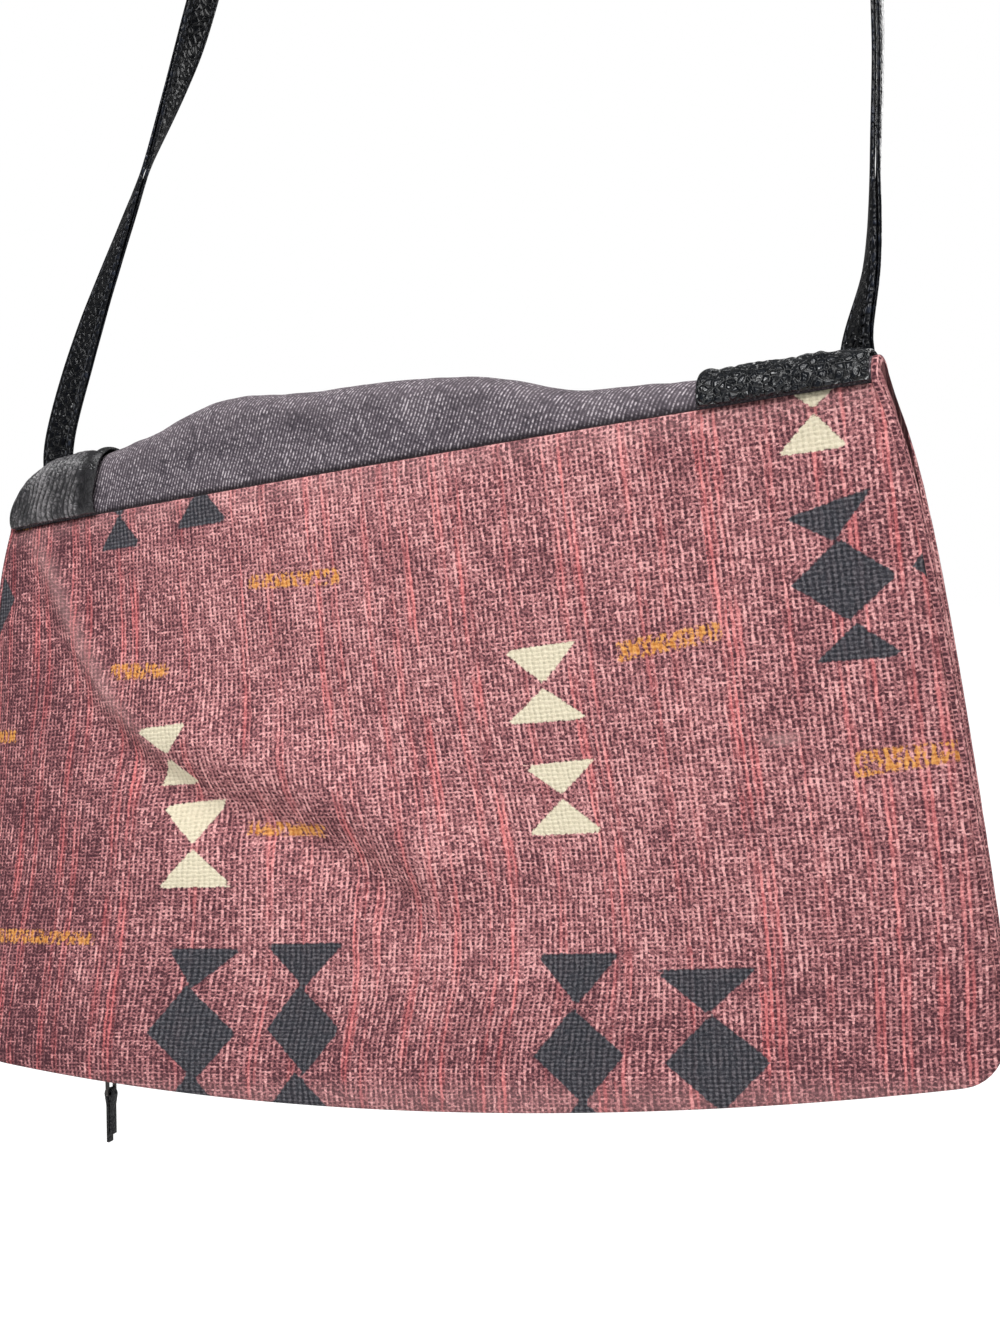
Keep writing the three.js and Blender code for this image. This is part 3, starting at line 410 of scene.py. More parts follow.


# printed canvas: pink and plum slub yarns, salmon stripes, the print's three colours, and painted shade
# toward the sides and the hem
canvasLook = {
    # the three amounts after the wobble on the next line are painted shade, darkening the cloth toward its
    # left side, its right side and its hem
    "warpPitch": 1.7, "weftPitch": 1.3, "wobble": 1.5, "paintedShade": (0.19, 0.03, 0.10), "printShare": 0.97,
    "stripeHalf": (1.0, 0.7), "stripeShare": 0.68, "wornShare": 0.36, "mustardShare": 0.88,
    "dark": 0.185, "contrast": 0.66, "fineContrast": 1.15, "patchContrast": 0.5, "relief": 0.35,
    "yarns": [(0.14, srgb(76, 46, 53)), (0.36, srgb(120, 77, 82)), (0.58, srgb(180, 120, 122)),
              (0.90, srgb(242, 184, 182))],
    "salmon": [(0.1, srgb(118, 58, 64)), (0.4, srgb(204, 102, 104)), (0.85, srgb(246, 146, 144))],
    "cream": [(0.1, srgb(166, 156, 132)), (0.45, srgb(222, 212, 184)), (0.9, srgb(244, 236, 212))],
    "charcoal": [(0.1, srgb(40, 42, 47)), (0.45, srgb(62, 65, 71)), (0.85, srgb(112, 112, 117))],
    "mustard": [(0.2, srgb(196, 116, 54)), (0.8, srgb(238, 176, 92))], "worn": srgb(190, 150, 148),
    "stripes": [(-163, 0.8), (-156.5, 0.7), (-143, 1.0), (-136.5, 0.9), (-123, 0.9), (-117, 0.7),
                (-102, 1.0), (-96, 1.1), (-74, 0.6), (-51, 0.8), (-39, 0.6), (-21, 1.0), (-15, 0.6),
                (-2, 0.8), (6, 0.6), (12, 1.0), (24.5, 0.8), (31, 1.2), (46, 0.5), (62, 0.9), (67, 1.0),
                (85, 0.7), (93, 0.5), (107, 1.1), (111, 0.8), (125, 0.5), (138, 0.8), (145, 0.9),
                (155, 0.9), (162, 0.8)],
}


def printedCanvas(printed=True):
    f = Finish("printed_canvas" if printed else "canvas_strip")
    look = canvasLook
    u, v = f.flat()
    drift = f.clothNoise(u, v, 3.5, 5, 3.0, detail=4, roughness=0.62)
    drift2 = f.clothNoise(u, v, 5, 3.5, 8.0, detail=4, roughness=0.62)
    uu = f.plus(u, f.centred(drift, look["wobble"]))
    vv = f.plus(v, f.centred(drift2, look["wobble"]))
    warp = f.times(uu, 1 / look["warpPitch"])
    weft = f.times(vv, 1 / look["weftPitch"])
    column = f.calc("FLOOR", warp)
    row = f.calc("FLOOR", weft)
    fine = f.clothNoise(uu, vv, 0.85, 0.75, 4.0, detail=2, roughness=0.6)
    slub = f.clothNoise(uu, vv, 1.5, 2.6, 5.0, detail=2, roughness=0.6)
    warpYarn = f.noise(f.vector(f.times(column, 3.7), f.times(v, 1 / 12), 1.0), detail=2)
    weftYarn = f.noise(f.vector(f.times(u, 1 / 11), f.times(row, 3.3), 2.0), detail=2)
    patch = f.clothNoise(u, v, 15, 24, 6.0, detail=4, roughness=0.55)
    chance = f.node("ShaderNodeTexWhiteNoise", noise_dimensions="2D")
    f.feed(chance.inputs["Vector"], f.vector(column, row))
    segment = f.centred(chance.outputs["Value"], 0.5)
    # painted shade: the cloth is darkened toward its left side, a little toward its right side, and toward
    # the hem, where the flap turns away from the light and curves under
    shadeLeft, shadeRight, shadeHem = look["paintedShade"]
    paintedShade = f.plus(f.times(f.step(u, -40.0, -170.0), shadeLeft), f.times(f.step(u, 60.0, 160.0), shadeRight),
                  f.times(f.step(v, -140.0, -196.0), shadeHem))
    warpLine = f.step(f.plus(f.times(f.wave(warp), -1), f.centred(slub, 3.2)), -0.9, 0.75)
    weftLine = f.step(f.plus(f.times(f.wave(weft), -1), f.centred(fine, 3.2)), -0.6, 0.9)
    warpTone = f.times(warpLine, f.plus(0.70, f.centred(warpYarn, 0.9)))
    weftTone = f.times(weftLine, f.plus(0.58, f.centred(weftYarn, 0.9)))
    woven = f.calc("MAXIMUM", warpTone, weftTone)
    light = f.plus(look["dark"], f.times(woven, f.plus(look["contrast"], segment)),
                   f.centred(fine, look["fineContrast"]), f.centred(patch, look["patchContrast"]),
                   f.times(paintedShade, -1))
    colour = f.ramp(light, look["yarns"])
    stripes = 0.0
    ragged = f.plus(uu, f.centred(fine, 2.2))
    for at, strength in look["stripes"]:
        half = look["stripeHalf"][0] + look["stripeHalf"][1] * strength
        one = f.times(f.calc("COMPARE", ragged, float(at), half), look["stripeShare"] * strength)
        stripes = f.calc("MAXIMUM", stripes, one)
    fade = f.step(f.clothNoise(u, v, 2.5, 26, 7.0, detail=3), 0.38, 0.64)
    showing = f.plus(0.42, f.times(warpLine, 0.58))
    stripe = f.calc("MULTIPLY", stripes, f.times(fade, showing), clamp=True)
    colour = f.blend(stripe, colour, f.ramp(f.plus(light, 0.06), look["salmon"]))
    standing = f.plus(f.times(warpLine, 0.5), f.times(weftLine, 0.4), f.centred(fine, 0.5))
    if printed:
        edge = f.plus(f.centred(slub, 1.2), f.centred(fine, 1.2))
        cream = f.step(f.plus(f.attribute("cream"), edge), -0.25, 0.25)
        charcoal = f.step(f.plus(f.attribute("charcoal"), edge), -0.25, 0.25)
        printTone = f.plus(0.18, f.times(standing, 0.55), f.centred(fine, 0.7))
        bars = f.clothNoise(uu, v, 1.3, 3.4, 12.0)
        mustard = f.times(f.step(f.plus(f.attribute("mustard"), f.times(edge, 1.5)), -0.2, 0.6),
                          f.step(f.plus(bars, f.centred(fine, 0.5)), 0.43, 0.56))
        worn = f.calc("MULTIPLY", f.attribute("worn"), look["wornShare"], clamp=True)
        colour = f.blend(worn, colour, look["worn"])
        creamTone = f.plus(0.3, f.times(printTone, 0.6))
        share = look["printShare"]
        inks = (("mustard", mustard, look["mustardShare"], f.plus(printTone, 0.1)),
                ("charcoal", charcoal, share, printTone), ("cream", cream, share, creamTone))
        for ink, cover, inkShare, tone in inks:
            colour = f.blend(f.times(cover, inkShare), colour, f.ramp(tone, look[ink]))
    return f.finish(colour, 0.95, f.raised(standing, look["relief"], 0.8), **{"Specular IOR Level": 0.12})


# grey denim: steep twill lines with pale flecks, and painted shadow along the seam
denimLook = {
    "pitch": 1.15, "lean": (0.883, -0.469),
    "yarns": [(0.12, srgb(52, 47, 54)), (0.42, srgb(88, 81, 88)), (0.66, srgb(122, 113, 120)),
              (0.92, srgb(206, 196, 202))],
    # the near-black colour on the next line is painted shadow along the seam, and the band after it says how
    # wide it is and how much it darkens
    "worn": srgb(140, 130, 134), "wornShare": 0.35, "seam": srgb(38, 34, 38), "seamShade": (2.4, 0.2, 0.8),
    "drift": 1.4, "middle": 0.46, "twill": 0.24, "flecks": 2.0, "streaks": 0.3, "patches": 0.45,
    "relief": 0.25,
}


def denimCloth():
    f = Finish("denim")
    look = denimLook
    u, v = f.flat()
    drift = f.clothNoise(u, v, 14, 14, 3.0, detail=3)
    leanU, leanV = look["lean"]
    across = f.plus(f.times(u, leanU), f.times(v, leanV), f.centred(drift, look["drift"]))
    along = f.plus(f.times(u, -leanV), f.times(v, leanU))
    twill = f.wave(f.times(across, -1 / look["pitch"]))
    line = f.calc("FLOOR", f.times(across, 1 / look["pitch"]))
    fleck = f.noise(f.vector(f.times(line, 2.9), f.times(along, 1 / 0.9), 5.0), detail=2, roughness=0.6)
    warpStreak = f.clothNoise(u, v, 0.8, 9, 6.0, detail=2)
    patch = f.clothNoise(u, v, 14, 10, 7.0, detail=4)
    flecks = f.times(f.centred(fleck, look["flecks"]), f.plus(0.55, f.times(twill, 0.45)))
    light = f.plus(look["middle"], f.times(twill, look["twill"]), flecks,
                   f.centred(warpStreak, look["streaks"]), f.centred(patch, look["patches"]))
    colour = f.ramp(light, look["yarns"])
    colour = f.blend(f.times(f.attribute("worn"), look["wornShare"]), colour, look["worn"])
    # painted shadow: within 2.4 mm of the seam the denim is darkened toward the near-black colour
    seamFrom, seamTo, seamShare = look["seamShade"]
    seam = f.step(f.calc("ABSOLUTE", v), seamFrom, seamTo)
    colour = f.blend(f.times(seam, seamShare), colour, look["seam"])
    height = f.plus(f.times(twill, 0.35), f.times(fleck, 0.8))
    return f.finish(colour, 0.92, f.raised(height, look["relief"], 0.7), **{"Specular IOR Level": 0.15})


def plainWeave(name, tones, pitch, roughness=0.9):
    f = Finish(name)
    u, v = f.flat()
    warp = f.calc("SINE", f.times(u, pi / pitch))
    weft = f.calc("SINE", f.times(v, pi / pitch))
    cell = f.times(warp, weft)
    fleck = f.clothNoise(u, v, pitch, pitch, 1.0, detail=2)
    light = f.plus(0.5, f.times(cell, 0.2), f.centred(fleck, 0.8))
    return f.finish(f.ramp(light, tones), roughness, f.raised(cell, 0.15, 0.6))


# black leather: pebbles with creases between them, wrinkles and fine pores, with highlight and shade painted
# into the tone
leatherLook = {
    "grained": [(0.2, srgb(6, 8, 12)), (0.6, srgb(18, 22, 29)), (0.95, srgb(46, 52, 64))],
    # paler grey tones for the gathered left corner: partly its rubbed wear, partly a painted sheen on its
    # pleats
    "rubbedAndSheen": [(0.15, srgb(11, 11, 14)), (0.5, srgb(46, 45, 48)), (0.95, srgb(134, 131, 133))],
    "dark": [(0.2, srgb(3, 4, 7)), (0.6, srgb(7, 9, 15)), (0.95, srgb(46, 52, 66))],
}


def blackLeather(name, pebble, depth, roughness, wrinkle, folding=0.6, tones="grained", shine=0.55,
                 bead=None):
    f = Finish(name)
    spot = f.objectMm()
    warped = f.node("ShaderNodeVectorMath", operation="MULTIPLY_ADD")
    f.feed(warped.inputs[0], f.noise(spot, scale=0.5 / pebble, detail=2.0, output="Color"))
    warped.inputs[1].default_value = (pebble, pebble, pebble)
    f.feed(warped.inputs[2], spot)
    cells = f.node("ShaderNodeTexVoronoi", feature="DISTANCE_TO_EDGE")
    f.feed(cells.inputs["Vector"], warped.outputs[0])
    cells.inputs["Scale"].default_value = 1 / pebble
    crack = f.step(cells.outputs["Distance"], 0.0, 0.28)
    folds = f.noise(spot, scale=1 / wrinkle, detail=2, roughness=0.5)
    pores = f.noise(spot, scale=2.4, detail=1)
    height = f.plus(f.times(crack, 0.6), f.times(folds, folding), f.times(pores, 0.05))
    # painted highlight and shade: the tone is raised on the pebble tops and lowered in the creases between
    # them
    tone = f.plus(0.2, f.times(crack, 0.25), f.centred(folds, 0.6))
    rough = f.plus(roughness, f.centred(pores, 0.25), f.times(crack, -0.06))
    if bead:
        # the turned edges are smooth and painted paler as a sheen, and painted shade darkens them along the
        # stitched groove
        u, v = f.flat()
        across = f.calc("ABSOLUTE", u)
        onBead = f.step(across, bead - 0.1, bead + 0.3)
        inGroove = f.step(f.calc("ABSOLUTE", f.plus(across, 0.7 - bead)), 0.8, 0.3)
        height = f.times(height, f.plus(1.0, f.times(onBead, -0.75)))
        tone = f.plus(tone, f.times(onBead, 0.25), f.times(inGroove, -0.3))
        rough = f.plus(rough, f.times(onBead, 0.1), f.times(inGroove, 0.25))
    # painted highlight: the tone is raised along the ridges of the left corner's pleats
    tone = f.plus(tone, f.times(f.attribute("ridge"), 0.6))
    return f.finish(f.ramp(tone, leatherLook[tones]), rough, f.raised(height, depth, 1.0),
                    **{"Specular IOR Level": shine})


def darkMetal():
    f = Finish("dark_metal")
    spot = f.objectMm()
    smudge = f.noise(spot, scale=0.5, detail=3)
    grain = f.noise(spot, scale=6.0, detail=2)
    tone = f.plus(0.3, f.centred(smudge, 0.5))
    colour = f.ramp(tone, [(0.1, srgb(52, 50, 50)), (0.8, srgb(104, 101, 98))])
    rough = f.plus(0.28, f.centred(smudge, 0.3))
    return f.finish(colour, rough, f.raised(grain, 0.02, 0.4), Metallic=1.0)


def threadFinish(name, colour):
    f = Finish(name)
    spot = f.objectMm()
    ply = f.noise(spot, scale=4.0, detail=1)
    lit = tuple(min(1, c * 2.2) for c in colour[:3]) + (1,)
    return f.finish(f.ramp(ply, [(0.3, colour), (0.8, lit)]), 0.6, f.raised(ply, 0.05, 0.5))


finishes = {
    "canvas": printedCanvas(), "strip": printedCanvas(False), "denim": denimCloth(),
    "lining": plainWeave("lining_cloth", [(0.2, srgb(58, 52, 55)), (0.8, srgb(92, 84, 88))], 0.6),
    "tape": plainWeave("zip_tape", [(0.2, srgb(18, 18, 20)), (0.8, srgb(44, 44, 47))], 0.7),
    "corner": blackLeather("corner_leather", 2.3, 1.0, 0.30, 3.2),
    "gathered": blackLeather("gathered_leather", 1.5, 0.2, 0.40, 2.2, 1.0, "rubbedAndSheen", 0.6),
    "strap": blackLeather("strap_leather", 2.7, 1.15, 0.24, 3.4, 0.8, "dark", 0.24, 5.2),
    "thong": blackLeather("thong_leather", 1.6, 0.3, 0.4, 2.6, 0.6, "dark", 0.4),
    "metal": darkMetal(), "thread": threadFinish("black_thread", srgb(44, 46, 52)),
}
print("finishes made:", len(finishes))


# shared modelling

def newObject(name, bm, material, smooth=True):
    mesh = bpy.data.meshes.new(name)
    bm.to_mesh(mesh)
    bm.free()
    made = bpy.data.objects.new(name, mesh)
    scene.collection.objects.link(made)
    mesh.materials.append(material)
    mesh.polygons.foreach_set("use_smooth", [smooth] * len(mesh.polygons))
    return made


def applyModifiers(made):
    bpy.context.view_layer.update()
    seen = made.evaluated_get(bpy.context.evaluated_depsgraph_get())
    final = bpy.data.meshes.new_from_object(seen, preserve_all_data_layers=True,
                                            depsgraph=bpy.context.evaluated_depsgraph_get())
    made.modifiers.clear()
    made.data = final
    return made


front = (0, -1, 0)
rear = (0, 1, 0)
below = (0, 0, -1)


def rowCount(settings):
    return sum(count for key, count in settings.items() if key.endswith("Rows"))


def gridCloth(name, columns, rows, surface, wall, material, outward, wrap=False):
    # a sheet laid out as a grid and put in place by its surface, which gives for the shares across
    # and along the sheet the points, the places on the flat cloth, and any named values
    bm = bmesh.new()
    bmesh.ops.create_grid(bm, x_segments=columns, y_segments=rows, size=0.5)
    shares = np.array([(v.co.x + 0.5, v.co.y + 0.5) for v in bm.verts])
    points, flat, values = surface(shares[:, 0], shares[:, 1])
    for vert, point in zip(bm.verts, points):
        vert.co = point
    layer = bm.loops.layers.uv.new("flat")
    for face in bm.faces:
        for loop in face.loops:
            loop[layer].uv = flat[loop.vert.index] * mm
    for key, numbers in values.items():
        numberLayer = bm.verts.layers.float.new(key)
        for vert, number in zip(bm.verts, numbers):
            vert[numberLayer] = number
    if wrap:
        bmesh.ops.remove_doubles(bm, verts=bm.verts, dist=1e-7)
        bmesh.ops.holes_fill(bm, edges=[e for e in bm.edges if e.is_boundary], sides=0)
        bmesh.ops.recalc_face_normals(bm, faces=bm.faces)
    else:
        bm.normal_update()
        middle = min(bm.faces, key=lambda face: abs(face.index - len(bm.faces) // 2))
        if middle.normal.dot(Vector(outward)) < 0:
            bmesh.ops.reverse_faces(bm, faces=bm.faces)
    made = newObject(name, bm, material)
    if wall:
        thick = made.modifiers.new("wall", "SOLIDIFY")
        thick.thickness = wall * mm
        thick.offset = -1
        thick.use_even_offset = True
        applyModifiers(made)
    return made


def seat(made, body, slotName, *replaced):
    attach(made, body)
    if replaced:
        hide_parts(*replaced)
    return made


# the print: every shape is a polygon on the flat flap, in millimetres from the seam

def bowtie(u, v, upper, lower, heightUp, heightDown, lean=0.0):
    # two triangles point to point at (u, v): half widths and heights of each
    return [[(u - upper + lean, v + heightUp), (u + upper + lean, v + heightUp + 1), (u, v + 0.6)],
            [(u, v - 0.6), (u + lower - lean, v - heightDown), (u - lower - lean, v - heightDown)]]


def diamond(u, v, halfWidth, halfHeight, lean=0.0):
    return [[(u + lean, v + halfHeight), (u + halfWidth, v), (u - lean, v - halfHeight),
             (u - halfWidth, v)]]


def triangleDown(u, v, halfWidth, height, lean=0.0):
    return [[(u - halfWidth + lean, v), (u + halfWidth + lean, v), (u, v - height)]]


def triangleUp(u, v, halfWidth, height, lean=0.0):
    return [[(u, v), (u + halfWidth + lean, v - height), (u - halfWidth + lean, v - height)]]


def bar(u0, top0, foot0, u1, top1, foot1):
    # a slanting bar from one end to the other, each with its top and its foot
    return [(u0, top0), (u1, top1), (u1, foot1), (u0, foot0)]


printShapes = {
    "cream": (bowtie(-83.5, -83.5, 12, 9, 9.5, 10, -1.5) + bowtie(-76.5, -113.5, 12.5, 15, 13.5, 13)
              + bowtie(52.5, -71, 11.5, 13, 11, 10.5) + bowtie(54.5, -103.5, 11.5, 12, 9.5, 11)
              + bowtie(138.5, -5, 8.5, 9.5, 7, 10.5, 1.5)),
    "charcoal": (triangleUp(-101.5, -1.6, 9.5, 11.4) + triangleDown(-101.5, 5.5, 9, 8)
                 + triangleUp(-64.5, 3.2, 11.5, 13) + diamond(-166, -25, 11, 13)
                 + triangleDown(-81.5, -146.5, 15, 13, 7) + diamond(-83.5, -174, 17.5, 15.5)
                 + triangleUp(-85.5, -187, 11.5, 12)
                 + triangleDown(-38.5, -145, 14.5, 14, 2) + diamond(-41, -172.5, 13, 14.5, 1)
                 + triangleUp(-45.5, -186, 11, 12)
                 + triangleDown(51, -150, 13, 15.5, 2.5) + diamond(49.5, -181, 14, 14.5)
                 + triangleUp(49, -193.5, 8.5, 10)
                 + triangleDown(89.5, -155.5, 15, 13.5, 1) + diamond(90.5, -183.5, 15.5, 14.5)
                 + [[(127.5, -32), (151.5, -26.5), (139.5, -39.5)]] + diamond(141, -50, 14, 11)
                 + triangleUp(143, -61.5, 12, 10) + diamond(163.5, -48, 5, 5)),
    "mustard": [bar(-47, -28, -32.5, -12, -29.5, -34.5), bar(-107, -51.5, -57, -82, -53, -58),
                bar(-172, -70.5, -75, -153, -71, -75.5), bar(-57, -106.5, -111, -26, -108, -113),
                bar(-176, -139.5, -144.5, -121, -141, -145.5), bar(76, -60.5, -66.5, 107, -57.5, -62.5),
                bar(138, -96, -103.5, 170, -95, -100.5), bar(-170, 4, 0, -146, 2.5, -1)],
}


def insidePolygon(u, v, corners):
    # how far a place lies inside a convex shape, in millimetres, negative outside
    points = np.array(corners, float)
    turns = [points[k - 1][0] * points[k][1] - points[k][0] * points[k - 1][1] for k in range(len(points))]
    if sum(turns) < 0:
        points = points[::-1]
    depth = np.full(np.shape(u), 1e3)
    for k in range(len(points)):
        (u0, v0), (u1, v1) = points[k - 1], points[k]
        length = ((u1 - u0) ** 2 + (v1 - v0) ** 2) ** 0.5
        depth = np.minimum(depth, ((u1 - u0) * (v - v0) - (v1 - v0) * (u - u0)) / length)
    return depth


# where the cloth is rubbed: along the crease, at the seam, at the hem and in one small nick
wear = {"crease": (0.5, 3.4, 0.08, 0.52, 0.22), "seam": (0.35, -3, 3.5), "hem": (0.5, -186, 9),
        "nick": (1.8, 120, -91.5, 4.5, 1.3, 0.02)}


def printValues(u, v):
    values = {}
    for colour, shapes in printShapes.items():
        depth = np.full(np.shape(u), -50.0)
        for corners in shapes:
            depth = np.maximum(depth, insidePolygon(u, v, corners))
        values[colour] = depth
    along, side = creasePlace(u, v)
    creaseAt, creaseWidth, startOver, creaseEnd, endOver = wear["crease"]
    seamBy, seamAt, seamWidth = wear["seam"]
    hemBy, hemFrom, hemOver = wear["hem"]
    nickBy, nickU, nickV, nickLength, nickHeight, nickBend = wear["nick"]
    onCrease = ease(along / startOver) * ease((creaseEnd - along) / endOver)
    crease = bump(side - creaseAt, creaseWidth) * onCrease
    nick = np.hypot((u - nickU) / nickLength, (v - nickV - nickBend * (u - nickU) ** 2) / nickHeight)
    values["worn"] = (crease + seamBy * bump(v - seamAt, seamWidth) + hemBy * ease((hemFrom - v) / hemOver)
                      + nickBy * bump(nick, 1))
    return values


# the canvas was cut a little off the straight grain, and its yarns bend over the crease
grain = {"right": (5.0, -124, 34, -7.0, -150, 42), "calm": (45, 50, 0.75), "left": (-21.0, -42, 125),
         "leftFrom": (-25, 115), "leftBulge": 0.5}


def grainShift(u, v):
    bulge, at, reach, kick, kickFrom, kickOver = grain["right"]
    common = bulge * bump(v - at, reach) + kick * ease((kickFrom - v) / kickOver)
    slide, slideFrom, slideOver = grain["left"]
    leftShare = ease((grain["leftFrom"][0] - u) / grain["leftFrom"][1])
    calmFrom, calmOver, calmBy = grain["calm"]
    common = common * (1 - calmBy * ease((u - calmFrom) / calmOver))
    common = common * (1 - grain["leftBulge"] * leftShare)
    return common + slide * leftShare * ease((slideFrom - v) / slideOver)


# cloth panels

flapPanel = {"columns": 204, "frontRows": 120, "turnRows": 8, "riseRows": 4, "seamTuck": 0.55,
             "seamReach": 1.6, "weaveWaves": 0.22}


def hemTurn(face, a, row, overRows, riseRows, radius, inward):
    # past its end the sheet rolls over the hem in its first rows and rises again inside in the others
    turn = pi * np.clip(row / overRows, 0, 1)
    rise = bag["hemTurnHeight"] * np.clip((row - overRows) / riseRows, 0, 1)
    bottom = flapEnd(a) + radius
    v = bottom - radius * np.sin(turn) + rise
    w = flapOut(face, a, 1.0) + inward * radius * (1 - np.cos(turn))
    return v, w, bottom - radius * turn - rise


def flapSurface(a, t):
    radius = bag["canvasWall"] + bag["hemTurnGap"] / 2
    face = layerFace("canvas")
    row = (1 - t) * rowCount(flapPanel)
    end = flapEnd(a)
    share = np.clip(row / flapPanel["frontRows"], 0, 1)
    v = mix(-bag["seamGap"] / 2, end + radius, share)
    q = (foldCentre(a) - v) / (foldCentre(a) - end)
    u = acrossAt(a, v)
    small = flapPanel["weaveWaves"] * slowNoise(u, v, 11, drape["seed"]) * closureAt(u, v)
    tuck = flapPanel["seamTuck"] * bump(v, flapPanel["seamReach"])
    w = flapOut(face, a, q) + small - tuck
    hemRow = row - flapPanel["frontRows"]
    turnV, turnW, turnFlat = hemTurn(face, a, hemRow, flapPanel["turnRows"], flapPanel["riseRows"],
                                     radius, -1)
    flatV = np.where(hemRow > 0, turnFlat, v)
    w = np.where(hemRow > 0, turnW, w)
    v = np.where(hemRow > 0, turnV, v)
    u = acrossAt(a, v)
    return toFrame(u, v, w), np.stack([u - grainShift(u, flatV), flatV], -1), printValues(u, flatV)


def buildFlapPanel():
    made = gridCloth("printed_flap", flapPanel["columns"], rowCount(flapPanel), flapSurface,
                     bag["canvasWall"], finishes["canvas"], front)
    seat(made, "bag", "printed_canvas", "flap_panel")


topPanel = {"columns": 180, "bandRows": 14, "foldRows": 22, "bodyRows": 84, "pucker": 0.5,
            "puckerLength": 13, "fineLength": 6.0, "backPucker": 0.12, "puckerEnd": (55, 35),
            "broad": 2.0, "broadLength": 60, "broadFrom": (50, 40), "seamTuck": 0.5, "seamReach": 1.4}


def foldedSurface(face, settings, a, t, fromV):
    # a sheet from the flap over the fold and down the body, for the share t of its rows:
    # its place, how far along the flat sheet that is, and the outward direction
    total = settings["bandRows"] + settings["foldRows"] + settings["bodyRows"]
    row = t * total
    bandShare = np.clip(row / settings["bandRows"], 0, 1)
    angle = pi * np.clip((row - settings["bandRows"]) / settings["foldRows"], 0, 1)
    q = np.clip((row - settings["bandRows"] - settings["foldRows"]) / settings["bodyRows"], 0, 1)
    v = mix(fromV, foldCentre(a), bandShare)
    bandQ = (foldCentre(a) - v) / (foldCentre(a) - flapEnd(a))
    bandU, bandV, bandW = onFlap(face, a, bandQ)
    foldU, foldV, foldW = onFold(face, a, angle)
    bodyU, bodyV, bodyW = onBody(face, a, q)
    onBand = row <= settings["bandRows"]
    over = (row > settings["bandRows"]) & (row <= settings["bandRows"] + settings["foldRows"])
    u = np.where(onBand, bandU, np.where(over, foldU, bodyU))
    vv = np.where(onBand, bandV, np.where(over, foldV, bodyV))
    w = np.where(onBand, bandW, np.where(over, foldW, bodyW))
    radius = foldOut(face, a)
    flatV = np.where(onBand, v, foldCentre(a) + radius * angle + (foldCentre(a) - bodyV) * (q > 0))
    return u, vv, w, flatV, np.sin(angle), np.cos(angle)


def topSurface(a, t):
    face = layerFace("canvas")
    u, v, w, flatV, outV, outW = foldedSurface(face, topPanel, a, t, bag["seamGap"] / 2)
    # puckers run across the fold, and fade out over the back
    pucker = topPanel["pucker"] * (slowNoise(u, flatV * 0.35, topPanel["puckerLength"], 5.0)
                                   + 0.5 * slowNoise(u, flatV * 0.5, topPanel["fineLength"], 8.0))
    pucker = pucker * closureAt(u, 0)
    puckerEnd, puckerOver = topPanel["puckerEnd"]
    backShare = topPanel["backPucker"]
    fade = ease(flatV / 5) * (backShare + (1 - backShare) * ease((puckerEnd - flatV) / puckerOver))
    tuck = topPanel["seamTuck"] * bump(flatV, topPanel["seamReach"])
    # it only swells outward, because the lining lies right under it
    swell = 0.5 + 0.5 * np.clip(slowNoise(u, flatV * 0.7, topPanel["broadLength"], 9.0), -1, 1)
    broadFrom, broadOver = topPanel["broadFrom"]
    broad = topPanel["broad"] * swell * ease((flatV - broadFrom) / broadOver) * closureAt(u, 0)
    lift = (pucker * fade + broad - tuck) * ease((1 - t) / 0.05)
    values = {"worn": bump(flatV - foldCentre(a) - 8, 9) * (0.6 + 0.4 * slowNoise(u, flatV, 9, 2.0))}
    return toFrame(u, v + lift * outV, w + lift * outW), np.stack([u, flatV], -1), values


def buildTopPanel():
    made = gridCloth("denim_top", topPanel["columns"], rowCount(topPanel), topSurface,
                     bag["canvasWall"], finishes["denim"], rear)
    seat(made, "bag", "denim", "top_panel")


innerPanel = {"columns": 110, "hemRows": 10, "bandRows": 60, "foldRows": 8, "bodyRows": 50,
              "roundOver": 6, "riseOver": 4}


def innerSurface(a, t):
    radius = bag["innerWall"] + bag["hemTurnGap"] / 2
    face = layerFace("innerPanel")
    total = rowCount(innerPanel)
    row = t * total - innerPanel["hemRows"]
    end = flapEnd(a)
    main = np.clip(row / (total - innerPanel["hemRows"]), 0, 1)
    u, v, w, flatV, outV, outW = foldedSurface(face, innerPanel, a, main, end + radius)
    turnV, turnW, turnFlat = hemTurn(face, a, -row, innerPanel["roundOver"], innerPanel["riseOver"],
                                     radius, 1)
    flatV = np.where(row < 0, turnFlat, flatV)
    w = np.where(row < 0, turnW, w)
    v = np.where(row < 0, turnV, v)
    u = np.where(row < 0, acrossAt(a, turnV), u)
    return toFrame(u, v, w), np.stack([u, flatV], -1), {"worn": 0 * u}


def buildInnerPanel():
    made = gridCloth("denim_inner", innerPanel["columns"], rowCount(innerPanel), innerSurface,
                     bag["innerWall"], finishes["denim"], rear)
    seat(made, "bag", "denim", "inner_panel")


lining = {"columns": 90, "bandRows": 60, "foldRows": 10, "bodyRows": 44, "tapeHeight": 7}


def buildLining(name, layer, node):
    face = layerFace(layer)

    def surface(a, t):
        fromV = flapEnd(a) + bag["zipRecess"] + lining["tapeHeight"] + 1
        u, v, w, flatV, outV, outW = foldedSurface(face, lining, a, t, fromV)
        return toFrame(u, v, w), np.stack([u, flatV], -1), {}

    made = gridCloth(name, lining["columns"], rowCount(lining), surface, bag["liningWall"],
                     finishes["lining"], rear)
    seat(made, "bag", "lining_cloth", node)


# leather corners

